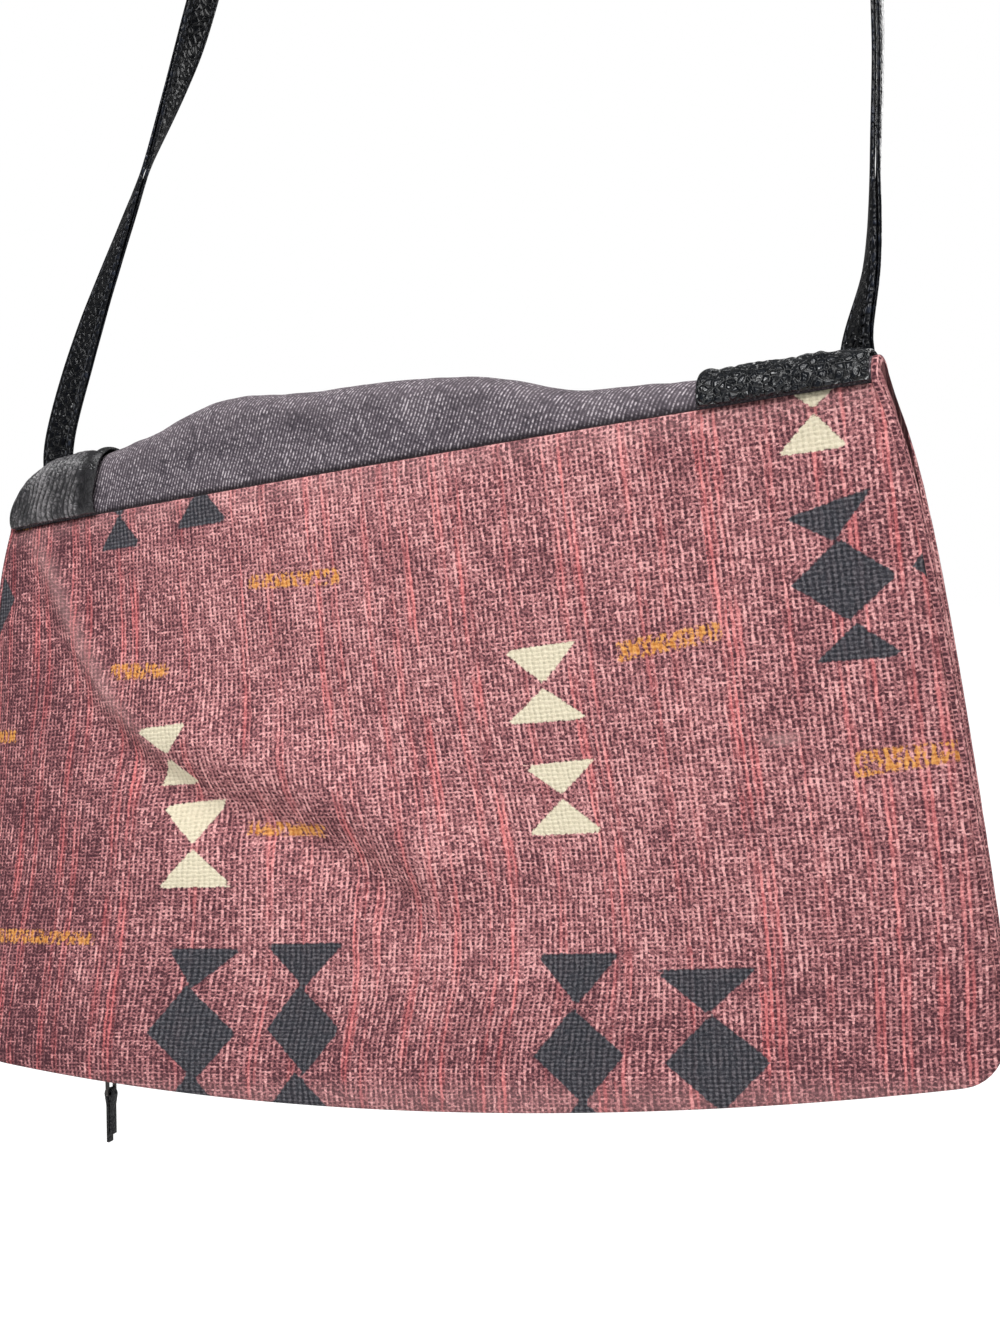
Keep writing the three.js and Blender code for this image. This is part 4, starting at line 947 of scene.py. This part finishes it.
corner = {
    "bandRows": 26, "foldRows": 34, "bodyRows": 36, "columns": 140, "back": 34, "length": 80,
    "edgeRoll": 0.5, "seamTuck": 0.5, "smoothFrom": 0.60, "smoothOver": 0.2, "rollWidth": 0.045,
    "swellEnd": 0.7,
    "left": {"width": 47, "pleat": 1.25, "pitch": 2.9, "curve": -8.0, "stray": (1.2, 9), "flare": 5.0,
             "pleatsEnd": (0.86, 0.08), "roll": (0.75, 0.94), "swell": (0.7, 0.2, 0.3)},
    "right": {"width": 46, "wrinkle": 0.7, "pucker": 5.0, "fine": 2.0, "wrinkleFrom": (0.1, 0.06),
              "dart": (0.45, 0.57, 0.02), "flare": 0.0, "roll": (0.9, 0.05), "swell": (0.5, 0.4, 0.35)},
}


def cornerSurface(side, a0, a1):
    face = layerFace("canvas")
    look = corner[side]
    total = rowCount(corner)
    overFold = corner["bandRows"] + corner["foldRows"]

    def surface(share, t):
        # the left corner's inner edge swings inward over the fold
        flare = look["flare"] * (ease((t - 0.08) / 0.3) - 0.4) / (rightEdge(0.0) - leftEdge(0.0))
        a = mix(a0, a1 + flare, share)
        row = t * total
        backEnd = corner["back"] / (foldCentre(a) - bodyEnd(a))
        # the body rows stop a little way down the back
        squeezed = np.where(row > overFold, (overFold + (row - overFold) * backEnd) / total, t)
        u, v, w, flatV, outV, outW = foldedSurface(face, corner, a, squeezed, bag["seamGap"])
        x = share * look["width"]
        back = ease((t - corner["smoothFrom"]) / corner["smoothOver"])
        if side == "left":
            strayBy, strayLength = look["stray"]
            bend = look["curve"] * (1.5 - share) * ease(t / 0.5)
            bend = bend + strayBy * slowNoise(x, flatV, strayLength, 4.0)
            pleats = 0.5 + 0.5 * np.sin(2 * pi * (x + bend) / look["pitch"])
            strength = 0.65 + 0.5 * slowNoise(x * 0.6, flatV * 0.3, 5, 6.0)
            pleatsEnd, endOver = look["pleatsEnd"]
            inside = ease((pleatsEnd - share) / endOver) * ease(share / 0.04)
            relief = look["pleat"] * np.sqrt(pleats) * strength * inside
        else:
            wrinkleFrom, fromOver = look["wrinkleFrom"]
            uneven = (0.6 + slowNoise(x, flatV, look["pucker"], 3.0)
                      + 0.5 * slowNoise(x, flatV, look["fine"], 7.0))
            relief = look["wrinkle"] * uneven * ease((share - wrinkleFrom) / fromOver)
            dartDepth, dartAt, dartWidth = look["dart"]
            relief = relief - dartDepth * bump(share - dartAt, dartWidth)
        rollHeight, rollAt = look["roll"]
        roll = rollHeight * bump(share - rollAt, corner["rollWidth"])
        swellHeight, swellAt, swellWidth = look["swell"]
        arch = np.sin(pi * np.clip(t / corner["swellEnd"], 0, 1))
        big = swellHeight * bump(share - swellAt, swellWidth) * arch
        fromEnd = np.minimum(t, 1 - t) * corner["length"]
        edge = np.minimum(np.minimum(share, 1 - share) * look["width"], fromEnd)
        inFromEdge = np.clip(edge / bag["leatherWall"], 0, 1)
        rounded = corner["edgeRoll"] * (np.sqrt(np.clip(1 - (1 - inFromEdge) ** 2, 0, 1)) - 1)
        tucked = -corner["seamTuck"] * (1 - ease(t / 0.05))
        lift = bag["leatherGap"] + bag["leatherWall"] + (relief + roll + big) * (1 - back) + rounded + tucked
        # how high each pleat stands, which the leather finish paints as a highlight along the pleat ridges
        ridge = np.clip(relief / look["pleat"], 0, 1) if side == "left" else 0 * u
        return toFrame(u, v + lift * outV, w + lift * outW), np.stack([u, flatV], -1), {"ridge": ridge}

    return surface


def buildCorner(side):
    left, right = leftEdge(0.0), rightEdge(0.0)
    if side == "left":
        a0, a1 = 0.0, corner["left"]["width"] / (right - left)
    else:
        a0, a1 = 1 - corner["right"]["width"] / (right - left), 1.0
    made = gridCloth(f"corner_{side}", corner["columns"], rowCount(corner), cornerSurface(side, a0, a1),
                     bag["leatherWall"], finishes["gathered" if side == "left" else "corner"], rear)
    seat(made, "bag", "corner_leather", f"leather_corner_{side}")


# rolled side strips and the welt under the body

strip = {"halfWidth": 1.15, "centreOut": 1.05, "proud": 0.15, "around": 24, "flapRows": 110,
         "foldRows": 18, "bodyRows": 96, "lump": 0.08}


def squared(turn, power):
    # a round section pressed toward a square, as its cosine and sine
    c, s = np.cos(turn), np.sin(turn)
    return np.sign(c) * np.abs(c) ** power, np.sign(s) * np.abs(s) ** power


def roundedEnds(t, rows):
    # how wide a roll is near its ends, where it closes over a row and a half
    return np.sqrt(np.clip(1 - (1 - np.clip(np.minimum(t, 1 - t) * rows / 1.5, 0, 1)) ** 2, 0.02, 1))


def buildSideStrip(side):
    a = 0.0 if side == "left" else 1.0
    outward = -1 if side == "left" else 1
    rows = rowCount(strip)

    def surface(share, t):
        row = t * rows
        flapQ = 1 - np.clip(row / strip["flapRows"], 0, 1)
        angle = pi * np.clip((row - strip["flapRows"]) / strip["foldRows"], 0, 1)
        bodyQ = np.clip((row - strip["flapRows"] - strip["foldRows"]) / strip["bodyRows"], 0, 1)
        onFlapPart = row <= strip["flapRows"]
        flapV = mix(foldCentre(a), flapEnd(a), flapQ)
        bodyV = mix(foldCentre(a), bodyEnd(a), bodyQ)
        baseV = np.where(onFlapPart, flapV, np.where(bodyQ > 0, bodyV, foldCentre(a)))
        middle = np.where(onFlapPart, mix(foldMiddle, flapMiddle, ease(flapQ)),
                          mix(foldMiddle, bodyMiddle, ease(bodyQ)))
        half = stackHalf + strip["proud"] + bag["hemStackExtra"] * ease(flapQ) * onFlapPart
        turn = 2 * pi * share
        lumpy = 1 + strip["lump"] * slowNoise(baseV, turn * 1.5, 6, 9.0 + a)
        # square on the side that lies against the panels, so that no groove is left there
        squareCos, squareSin = squared(turn, np.where(outward * np.cos(turn) < 0, 0.25, 0.75))
        ends = roundedEnds(t, rows)
        du = strip["halfWidth"] * squareCos * lumpy * ends
        out = middle + half * squareSin * ends
        angle = np.where(onFlapPart, 0.0, np.where(bodyQ > 0, pi, angle))
        u = acrossAt(a, baseV) + outward * strip["centreOut"] + du
        v = baseV + out * np.sin(angle)
        w = out * np.cos(angle)
        pastFold = middle * angle + (foldCentre(a) - baseV) * (bodyQ > 0)
        run = np.where(onFlapPart, baseV - foldCentre(a), pastFold)
        flat = np.stack([outward * 120 + share * 11, run], -1)
        return toFrame(u, v, w), flat, {}

    made = gridCloth(f"side_roll_{side}", strip["around"], rows, surface, 0, finishes["strip"], rear,
                     wrap=True)
    seat(made, "bag", "printed_canvas", f"side_strip_{side}")


welt = {"halfHeight": 1.3, "around": 20, "rows": 170, "endRows": 320, "power": 0.75}


def buildWelt():
    halfHeight = welt["halfHeight"]

    def surface(share, t):
        v = bodyEnd(t) - bag["layerGap"] - halfHeight
        turn = 2 * pi * share
        ends = roundedEnds(t, welt["endRows"])
        squareCos, squareSin = squared(turn, welt["power"])
        u = acrossAt(t, v)
        point = toFrame(u, v + halfHeight * squareCos * ends,
                        -bodyMiddle + (stackHalf + strip["proud"]) * squareSin * ends)
        return point, np.stack([u, turn * 1.5], -1), {"worn": 0 * u}

    made = gridCloth("welt", welt["around"], welt["rows"], surface, 0, finishes["denim"], rear, wrap=True)
    seat(made, "bag", "denim", "bottom_welt")


# strap: two plies sewn together, on the route that the strap hangs in

strap = {
    "width": 13, "ply": 1.35, "plyGap": 0.3, "sewn": 26, "crownRadius": 62, "crownFlat": 12,
    "leftFoot": -147, "rightFoot": 146, "legSteps": 260, "arcSteps": 26,
    "leftRoute": [((-148.5, 41, 10), -2), ((-142, 47.5, 47), -6), ((-121.5, 58, 111), -46),
                  ((-104.5, 68, 166), -104), ((-82, 79, 265), -98), ((-60, 89, 395), -91)],
    "rightRoute": [((91, 86, 395), -90), ((122, 68, 265), -90), ((141, 47, 166), -89),
                   ((146, 35.5, 120), -86), ((147.5, 26.5, 84), -82), ((148, 20, 52), -68)],
    "bead": 2.0, "groove": 0.5, "grooveWidth": 0.7, "edgeSquare": 0.45, "rimPower": 10, "rimHeight": 0.25,
    "crownLift": 0.16, "sunk": 0.12, "rimIn": 0.22, "uneven": 0.10, "unevenLength": 14,
    "stitch": 2.1, "stitchPitch": 3.0, "stitchRadius": 0.22,
    "boxHalf": 4.2, "boxFrom": 4.2, "boxTo": 22.0, "boxPitch": 2.4, "boxStitch": 2.0, "boxRadius": 0.26,
}
strapHalf = strap["ply"] + strap["plyGap"] / 2


def strapFoot(u, below, clear=0.0):
    left, right = leftEdge(0.0), rightEdge(0.0)
    a = (u - left) / (right - left)
    across = strap["width"] / 2 / (right - left)
    q = below / (foldCentre(a) - bodyEnd(a))
    proudest = max(float(bodyOut(layerFace("canvas"), at, q)) for at in (a - across, a, a + across))
    out = proudest + bag["leatherGap"] + bag["leatherWall"] + bag["strapGap"] + strapHalf + clear
    return hang(place(float(u), float(foldCentre(a) - below), -out))


def routePoint(points, t):
    # a centripetal curve through the route's points
    spot = (len(points) - 1) * t
    k = min(int(spot), len(points) - 2)
    weight = spot - k
    p1, p2 = points[k], points[k + 1]
    p0 = points[k - 1] if k > 0 else 2 * points[0] - points[1]
    p3 = points[k + 2] if k + 2 < len(points) else 2 * points[-1] - points[-2]
    d0, d1, d2 = (np.linalg.norm(b - a) ** 0.5 for a, b in ((p0, p1), (p1, p2), (p2, p3)))
    t1 = ((p1 - p0) / d0 - (p2 - p0) / (d0 + d1) + (p2 - p1) / d1) * d1
    t2 = ((p2 - p1) / d1 - (p3 - p1) / (d1 + d2) + (p3 - p2) / d2) * d1
    return (p1 + t1 * weight + (-3 * p1 + 3 * p2 - 2 * t1 - t2) * weight ** 2
            + (2 * p1 - 2 * p2 + t1 + t2) * weight ** 3)


def strapStations():
    # the middle line, the width direction and the outward direction at each step of the strap
    crown = np.array(bag["crown"], float)
    arcRadius = strap["crownRadius"] - strap["crownFlat"] / 2
    centreZ = crown[2] + strapHalf - strap["crownRadius"] + strap["crownFlat"] / 2

    def arcPoint(side, angle):
        return np.array([crown[0] + side * (strap["crownFlat"] / 2 + arcRadius * cos(angle)), crown[1],
                         centreZ + arcRadius * sin(angle)])

    sewn = strap["sewn"]
    left = [(strapFoot(strap["leftFoot"], sewn), -11), (strapFoot(strap["leftFoot"], sewn / 2), -11),
            (strapFoot(strap["leftFoot"], 1, 0.3), -11)]
    left += [(np.array(p, float), turn) for p, turn in strap["leftRoute"]] + [(arcPoint(-1, 0), -90)]
    right = [(arcPoint(1, 0), -90)] + [(np.array(p, float), turn) for p, turn in strap["rightRoute"]]
    right += [(strapFoot(strap["rightFoot"], -12, 4.5), -46), (strapFoot(strap["rightFoot"], 2, 2.4), -16),
              (strapFoot(strap["rightFoot"], sewn / 2), 0), (strapFoot(strap["rightFoot"], sewn), 0)]
    points, turns = [], []

    def addLeg(route):
        for step in range(strap["legSteps"] + 1):
            share = step / strap["legSteps"]
            t = share * (len(route) - 1)
            k = min(int(t), len(route) - 2)
            points.append(routePoint([p for p, _ in route], share))
            turns.append(mix(route[k][1], route[k + 1][1], t - k))

    addLeg(left)
    for step in range(1, strap["arcSteps"] + 1):
        points.append(arcPoint(-1, pi / 2 * step / strap["arcSteps"]))
        turns.append(-90)
    for step in range(strap["arcSteps"], 0, -1):
        points.append(arcPoint(1, pi / 2 * step / strap["arcSteps"]))
        turns.append(-90)
    addLeg(right)
    points = np.array(points)
    turns = np.radians(np.convolve(np.pad(turns, 6, mode="edge"), np.ones(13) / 13, "valid"))
    along = np.gradient(points, axis=0)
    along /= np.linalg.norm(along, axis=1)[:, None]
    wide = np.stack([np.cos(turns), np.sin(turns), 0 * turns], -1)
    wide -= along * (wide * along).sum(1)[:, None]
    wide /= np.linalg.norm(wide, axis=1)[:, None]
    out = np.cross(along, wide)
    reach = np.concatenate([[0], np.cumsum(np.linalg.norm(np.diff(points, axis=0), axis=1))])
    return points, wide, out, reach


strapPoints, strapWide, strapOutDir, strapReach = strapStations()
print("strap length in millimetres:", round(float(strapReach[-1]), 1))


def plyProfile(count):
    # the section of a ply as places across and out: turned edges, a stitched groove, a raised middle
    half = strap["width"] / 2
    profile = []
    for k in range(count):
        turn = 2 * pi * k / count
        across = half * np.sign(cos(turn)) * abs(cos(turn)) ** strap["edgeSquare"]
        outer = sin(turn) > 0
        rim = np.sqrt(max(0.0, 1 - min(1, abs(across) / half) ** strap["rimPower"]))
        if outer:
            fromEdge = half - abs(across)
            dip = strap["groove"] * float(bump(fromEdge - strap["bead"], strap["grooveWidth"]))
            lift = strap["crownLift"] * (1 - (across / half) ** 2)
            rise = strap["rimHeight"] + (1 - strap["rimHeight"]) * rim
            out = strap["ply"] * rise - dip + lift - strap["sunk"]
        else:
            out = strap["rimIn"] * (1 - rim)
        profile.append((across, out))
    return np.array(profile)


def buildPly(name, side, node):
    count = 60
    profile = plyProfile(count)
    stationCount = len(strapPoints)

    def surface(share, t):
        k = np.rint(share * count).astype(int) % count
        s = np.rint(t * (stationCount - 1)).astype(int)
        across, out = profile[k, 0], profile[k, 1]
        # the leather is a little uneven along its length
        bumps = slowNoise(strapReach[s], across, strap["unevenLength"], 3.0 + side)
        uneven = strap["uneven"] * bumps * (out > 0.5)
        away = side * (strap["plyGap"] / 2 + out + uneven)
        point = strapPoints[s] + strapWide[s] * across[:, None] + strapOutDir[s] * away[:, None]
        return (point - np.array(bag["crown"])) * mm, np.stack([across, strapReach[s]], -1), {}

    made = gridCloth(name, count, stationCount - 1, surface, 0, finishes["strap"], rear, wrap=True)
    seat(made, "bag", "strap_leather", node)


def stitchShape(length, radius):
    # one stitch lying along X: a short thread with rounded ends
    bm = bmesh.new()
    bmesh.ops.create_icosphere(bm, subdivisions=1, radius=radius)
    for vert in bm.verts:
        vert.co.x += (length / 2 - radius) * (1 if vert.co.x > 1e-9 else -1 if vert.co.x < -1e-9 else 0)
    return bm


def stitchRow(name, spots, length, radius):
    # spots are (place, along, out) in the frame's metres
    one = stitchShape(length * mm, radius * mm)
    mesh = bpy.data.meshes.new("one_stitch")
    one.to_mesh(mesh)
    one.free()
    bm = bmesh.new()
    for spot, along, out in spots:
        x = Vector(along).normalized()
        z = Vector(out).normalized()
        y = z.cross(x).normalized()
        turn = Matrix((x, y, z)).transposed().to_4x4()
        turn.translation = Vector(spot)
        before = len(bm.verts)
        bm.from_mesh(mesh)
        bm.verts.ensure_lookup_table()
        bmesh.ops.transform(bm, matrix=turn, verts=bm.verts[before:])
    bpy.data.meshes.remove(mesh)
    return seat(newObject(name, bm, finishes["thread"]), "bag", "strap_leather")


def buildStrapStitches():
    half = strap["width"] / 2
    spots = []
    for side in (1, -1):
        for edge in (1, -1):
            across = edge * (half - strap["bead"])
            away = side * (strapHalf - strap["groove"] + 0.04)
            for reach in np.arange(3, strapReach[-1] - 3, strap["stitchPitch"]):
                s = int(np.searchsorted(strapReach, reach))
                share = (reach - strapReach[s - 1]) / max(1e-6, strapReach[s] - strapReach[s - 1])
                point = mix(strapPoints[s - 1], strapPoints[s], share)
                along = strapPoints[s] - strapPoints[s - 1]
                spot = point + strapWide[s] * across + strapOutDir[s] * away
                spots.append(((spot - np.array(bag["crown"])) * mm, along, strapOutDir[s] * side))
    stitchRow("strap_stitches", spots, strap["stitch"], strap["stitchRadius"])


def buildFootStitches():
    # a sewn box with a cross holds each end of the strap on the leather
    half, inner, outer = strap["boxHalf"], strap["boxFrom"], strap["boxTo"]
    corners = [(-half, inner), (half, inner), (half, outer), (-half, outer)]
    lines = [(corners[k], corners[(k + 1) % 4]) for k in range(4)]
    lines += [(corners[0], corners[2]), (corners[1], corners[3])]
    spots = []
    for end in (1, -1):
        for (x0, d0), (x1, d1) in lines:
            length = ((x1 - x0) ** 2 + (d1 - d0) ** 2) ** 0.5
            count = max(2, int(length / strap["boxPitch"]))
            for k in range(count):
                share = (k + 0.5) / count
                x, d = mix(x0, x1, share), mix(d0, d1, share)
                reach = d if end == 1 else strapReach[-1] - d
                s = int(np.clip(np.searchsorted(strapReach, reach), 1, len(strapReach) - 1))
                forward = (strapPoints[s] - strapPoints[s - 1]) * end
                forward = forward / np.linalg.norm(forward)
                along = strapWide[s] * (x1 - x0) + forward * (d1 - d0)
                facing = -strapOutDir[s]
                spot = strapPoints[s] + strapWide[s] * x + facing * (strapHalf + 0.06)
                spots.append(((spot - np.array(bag["crown"])) * mm, along, facing))
    stitchRow("foot_stitches", spots, strap["boxStitch"], strap["boxRadius"])


# zip

zipper = {"tapeHeight": 7, "tapeWall": 0.5, "tapeFrom": -141, "tapeTo": 144, "bend": 0.25,
          "nearTeeth": 0.75 + 1.2 + 0.5 + 0.35, "columns": 12, "rows": 150}


def zipToFrame(angle, y, z):
    # the zip's own circle: y across it, z up, then seated in the hem of the hung bag
    radius, lean = bag["zipRadius"], bag["zipLean"]
    centre = np.array([0, radius * sin(lean), radius * cos(lean)])
    axis = np.array([0, -cos(lean), sin(lean)])
    p = np.stack(np.broadcast_arrays(0 * angle, y, z), -1) - centre
    c, s = np.cos(angle)[..., None], np.sin(angle)[..., None]
    turned = p * c + np.cross(np.broadcast_to(axis, p.shape), p) * s
    turned = turned + axis * (p @ axis)[..., None] * (1 - c)
    local = turned + centre
    zipW = slotFront - bag["slotHalf"]
    base = place(float(bag["zipLowestU"]), -bag["flapDepth"], zipW)
    x = local[..., 0] * cos(bag["twist"]) - local[..., 1] * sin(bag["twist"]) + base[0]
    yy = local[..., 0] * sin(bag["twist"]) + local[..., 1] * cos(bag["twist"]) + base[1]
    zz = local[..., 2] - bag["flapDepth"] + bag["zipRecess"]
    return (hang(np.stack([x, yy, zz], -1)) - np.array(bag["crown"])) * mm


def buildTape(side, name, node):
    wallAt = bag["slotHalf"] - bag["layerGap"] - zipper["tapeWall"] / 2

    def surface(share, t):
        u = mix(zipper["tapeFrom"], zipper["tapeTo"], t)
        angle = np.arcsin((u - bag["zipLowestU"]) / bag["zipRadius"])
        flatRun = wallAt - zipper["nearTeeth"]
        run = share * (flatRun + zipper["tapeHeight"])
        y = zipper["nearTeeth"] + np.minimum(run, flatRun)
        z = np.maximum(0, run - flatRun)
        z = z + zipper["bend"] * (1 - np.clip(np.abs(run - flatRun), 0, 1))
        return zipToFrame(angle, side * y, z), np.stack([u, run], -1), {}

    made = gridCloth(name, zipper["columns"], zipper["rows"], surface, 0, finishes["tape"], below)
    thick = made.modifiers.new("wall", "SOLIDIFY")
    thick.thickness = zipper["tapeWall"] * mm
    thick.offset = 0
    applyModifiers(made)
    seat(made, "bag", "zip_tape", node)


def crispCopy(node, name, body, slotName, material, bevel):
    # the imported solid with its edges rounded
    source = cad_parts[node]
    bm = bmesh.new()
    bm.from_mesh(source.data)
    bmesh.ops.remove_doubles(bm, verts=bm.verts, dist=1e-6)
    bmesh.ops.dissolve_limit(bm, angle_limit=radians(2), verts=bm.verts, edges=bm.edges)
    sharp = [e for e in bm.edges if len(e.link_faces) == 2 and e.calc_face_angle() > radians(30)]
    bmesh.ops.bevel(bm, geom=sharp, offset=bevel * mm, affect="EDGES", segments=2, profile=0.5, material=-1,
                    clamp_overlap=True)
    made = newObject(name, bm, material, smooth=False)
    return seat(made, body, slotName, node)


# making every piece

buildFlapPanel()
buildTopPanel()
buildInnerPanel()
print("cloth panels made")
buildLining("lining_outer", "outerLining", "outer_lining")
buildLining("lining_inner", "innerLining", "inner_lining")
for side in ("left", "right"):
    buildCorner(side)
    buildSideStrip(side)
buildWelt()
print("leather corners, side strips and welt made")
buildPly("strap_ply_inner", 1, "strap_inner_ply")
buildPly("strap_ply_outer", -1, "strap_outer_ply")
buildStrapStitches()
buildFootStitches()
print("strap made")
buildTape(-1, "tape_front", "zip_tape_front")
buildTape(1, "tape_back", "zip_tape_back")
for node in ("teeth_front", "teeth_back", "bottom_stop", "top_stop_front", "top_stop_back"):
    crispCopy("zip_" + node, "fine_zip_" + node, "bag", "zip_metal", finishes["metal"], 0.14)
crispCopy("slider_body", "fine_slider", "slider", "zip_metal", finishes["metal"], 0.18)
crispCopy("slider_pull", "fine_pull", "pull", "zip_metal", finishes["metal"], 0.2)
crispCopy("pull_thong", "fine_thong", "pull", "thong_leather", finishes["thong"], 0.18)
print("zip made")

# floor, backdrop and light
stage = {
    "floorZ": -0.95, "floorSize": 12.0, "glow": 1.3, "glowShare": 0.8, "world": 0.13,
    "aim": (0.0, -0.09, -0.62),
    "lamps": {"key": (17.0, 0.6, (0.35, -1.35, 0.55)), "left": (13.0, 0.5, (-0.85, -0.75, 0.75)),
              "top": (4.0, 0.5, (0.1, -0.35, 0.55)), "right": (4.0, 0.5, (1.3, -0.9, -0.5)),
              "rear": (12.0, 1.2, (0.5, 1.7, 0.3))},
}


def whiteBehind(name):
    # it glows white where the camera sees it, and is a plain pale surface for everything else
    material = bpy.data.materials.new(name)
    material.use_nodes = True
    tree = material.node_tree
    shader = tree.nodes["Principled BSDF"]
    shader.inputs["Base Color"].default_value = (0.92, 0.92, 0.92, 1)
    shader.inputs["Roughness"].default_value = 0.9
    path = tree.nodes.new("ShaderNodeLightPath")
    glow = tree.nodes.new("ShaderNodeEmission")
    glow.inputs["Color"].default_value = (1, 1, 1, 1)
    glow.inputs["Strength"].default_value = stage["glow"]
    blendNode = tree.nodes.new("ShaderNodeMixShader")
    share = tree.nodes.new("ShaderNodeMath")
    share.operation = "MULTIPLY"
    share.inputs[1].default_value = stage["glowShare"]
    tree.links.new(path.outputs["Is Camera Ray"], share.inputs[0])
    tree.links.new(share.outputs[0], blendNode.inputs[0])
    tree.links.new(shader.outputs[0], blendNode.inputs[1])
    tree.links.new(glow.outputs[0], blendNode.inputs[2])
    tree.links.new(blendNode.outputs[0], tree.nodes["Material Output"].inputs[0])
    return material


floorMesh = bmesh.new()
bmesh.ops.create_grid(floorMesh, x_segments=1, y_segments=1, size=stage["floorSize"])
bmesh.ops.translate(floorMesh, verts=floorMesh.verts, vec=(0, 0, stage["floorZ"]))
floor = newObject("floor", floorMesh, whiteBehind("pale_floor"), smooth=False)

world = bpy.data.worlds.new("studio")
scene.world = world
world.use_nodes = True
worldTree = world.node_tree
lightBack = worldTree.nodes["Background"]
lightBack.inputs["Color"].default_value = (1, 1, 1, 1)
lightBack.inputs["Strength"].default_value = stage["world"]
whiteBack = worldTree.nodes.new("ShaderNodeBackground")
whiteBack.inputs["Color"].default_value = (1, 1, 1, 1)
pathNode = worldTree.nodes.new("ShaderNodeLightPath")
seenWhite = worldTree.nodes.new("ShaderNodeMixShader")
worldTree.links.new(pathNode.outputs["Is Camera Ray"], seenWhite.inputs[0])
worldTree.links.new(lightBack.outputs[0], seenWhite.inputs[1])
worldTree.links.new(whiteBack.outputs[0], seenWhite.inputs[2])
worldTree.links.new(seenWhite.outputs[0], worldTree.nodes["World Output"].inputs[0])


def addLamp(name, power, size, location):
    data = bpy.data.lights.new(name, "AREA")
    data.energy = power
    data.size = size
    lamp = bpy.data.objects.new(name, data)
    scene.collection.objects.link(lamp)
    lamp.location = location
    lamp.rotation_euler = (Vector(stage["aim"]) - Vector(location)).to_track_quat("-Z", "Y").to_euler()


for lampName, (power, size, location) in stage["lamps"].items():
    addLamp(lampName, power, size, location)

print("scene finished")
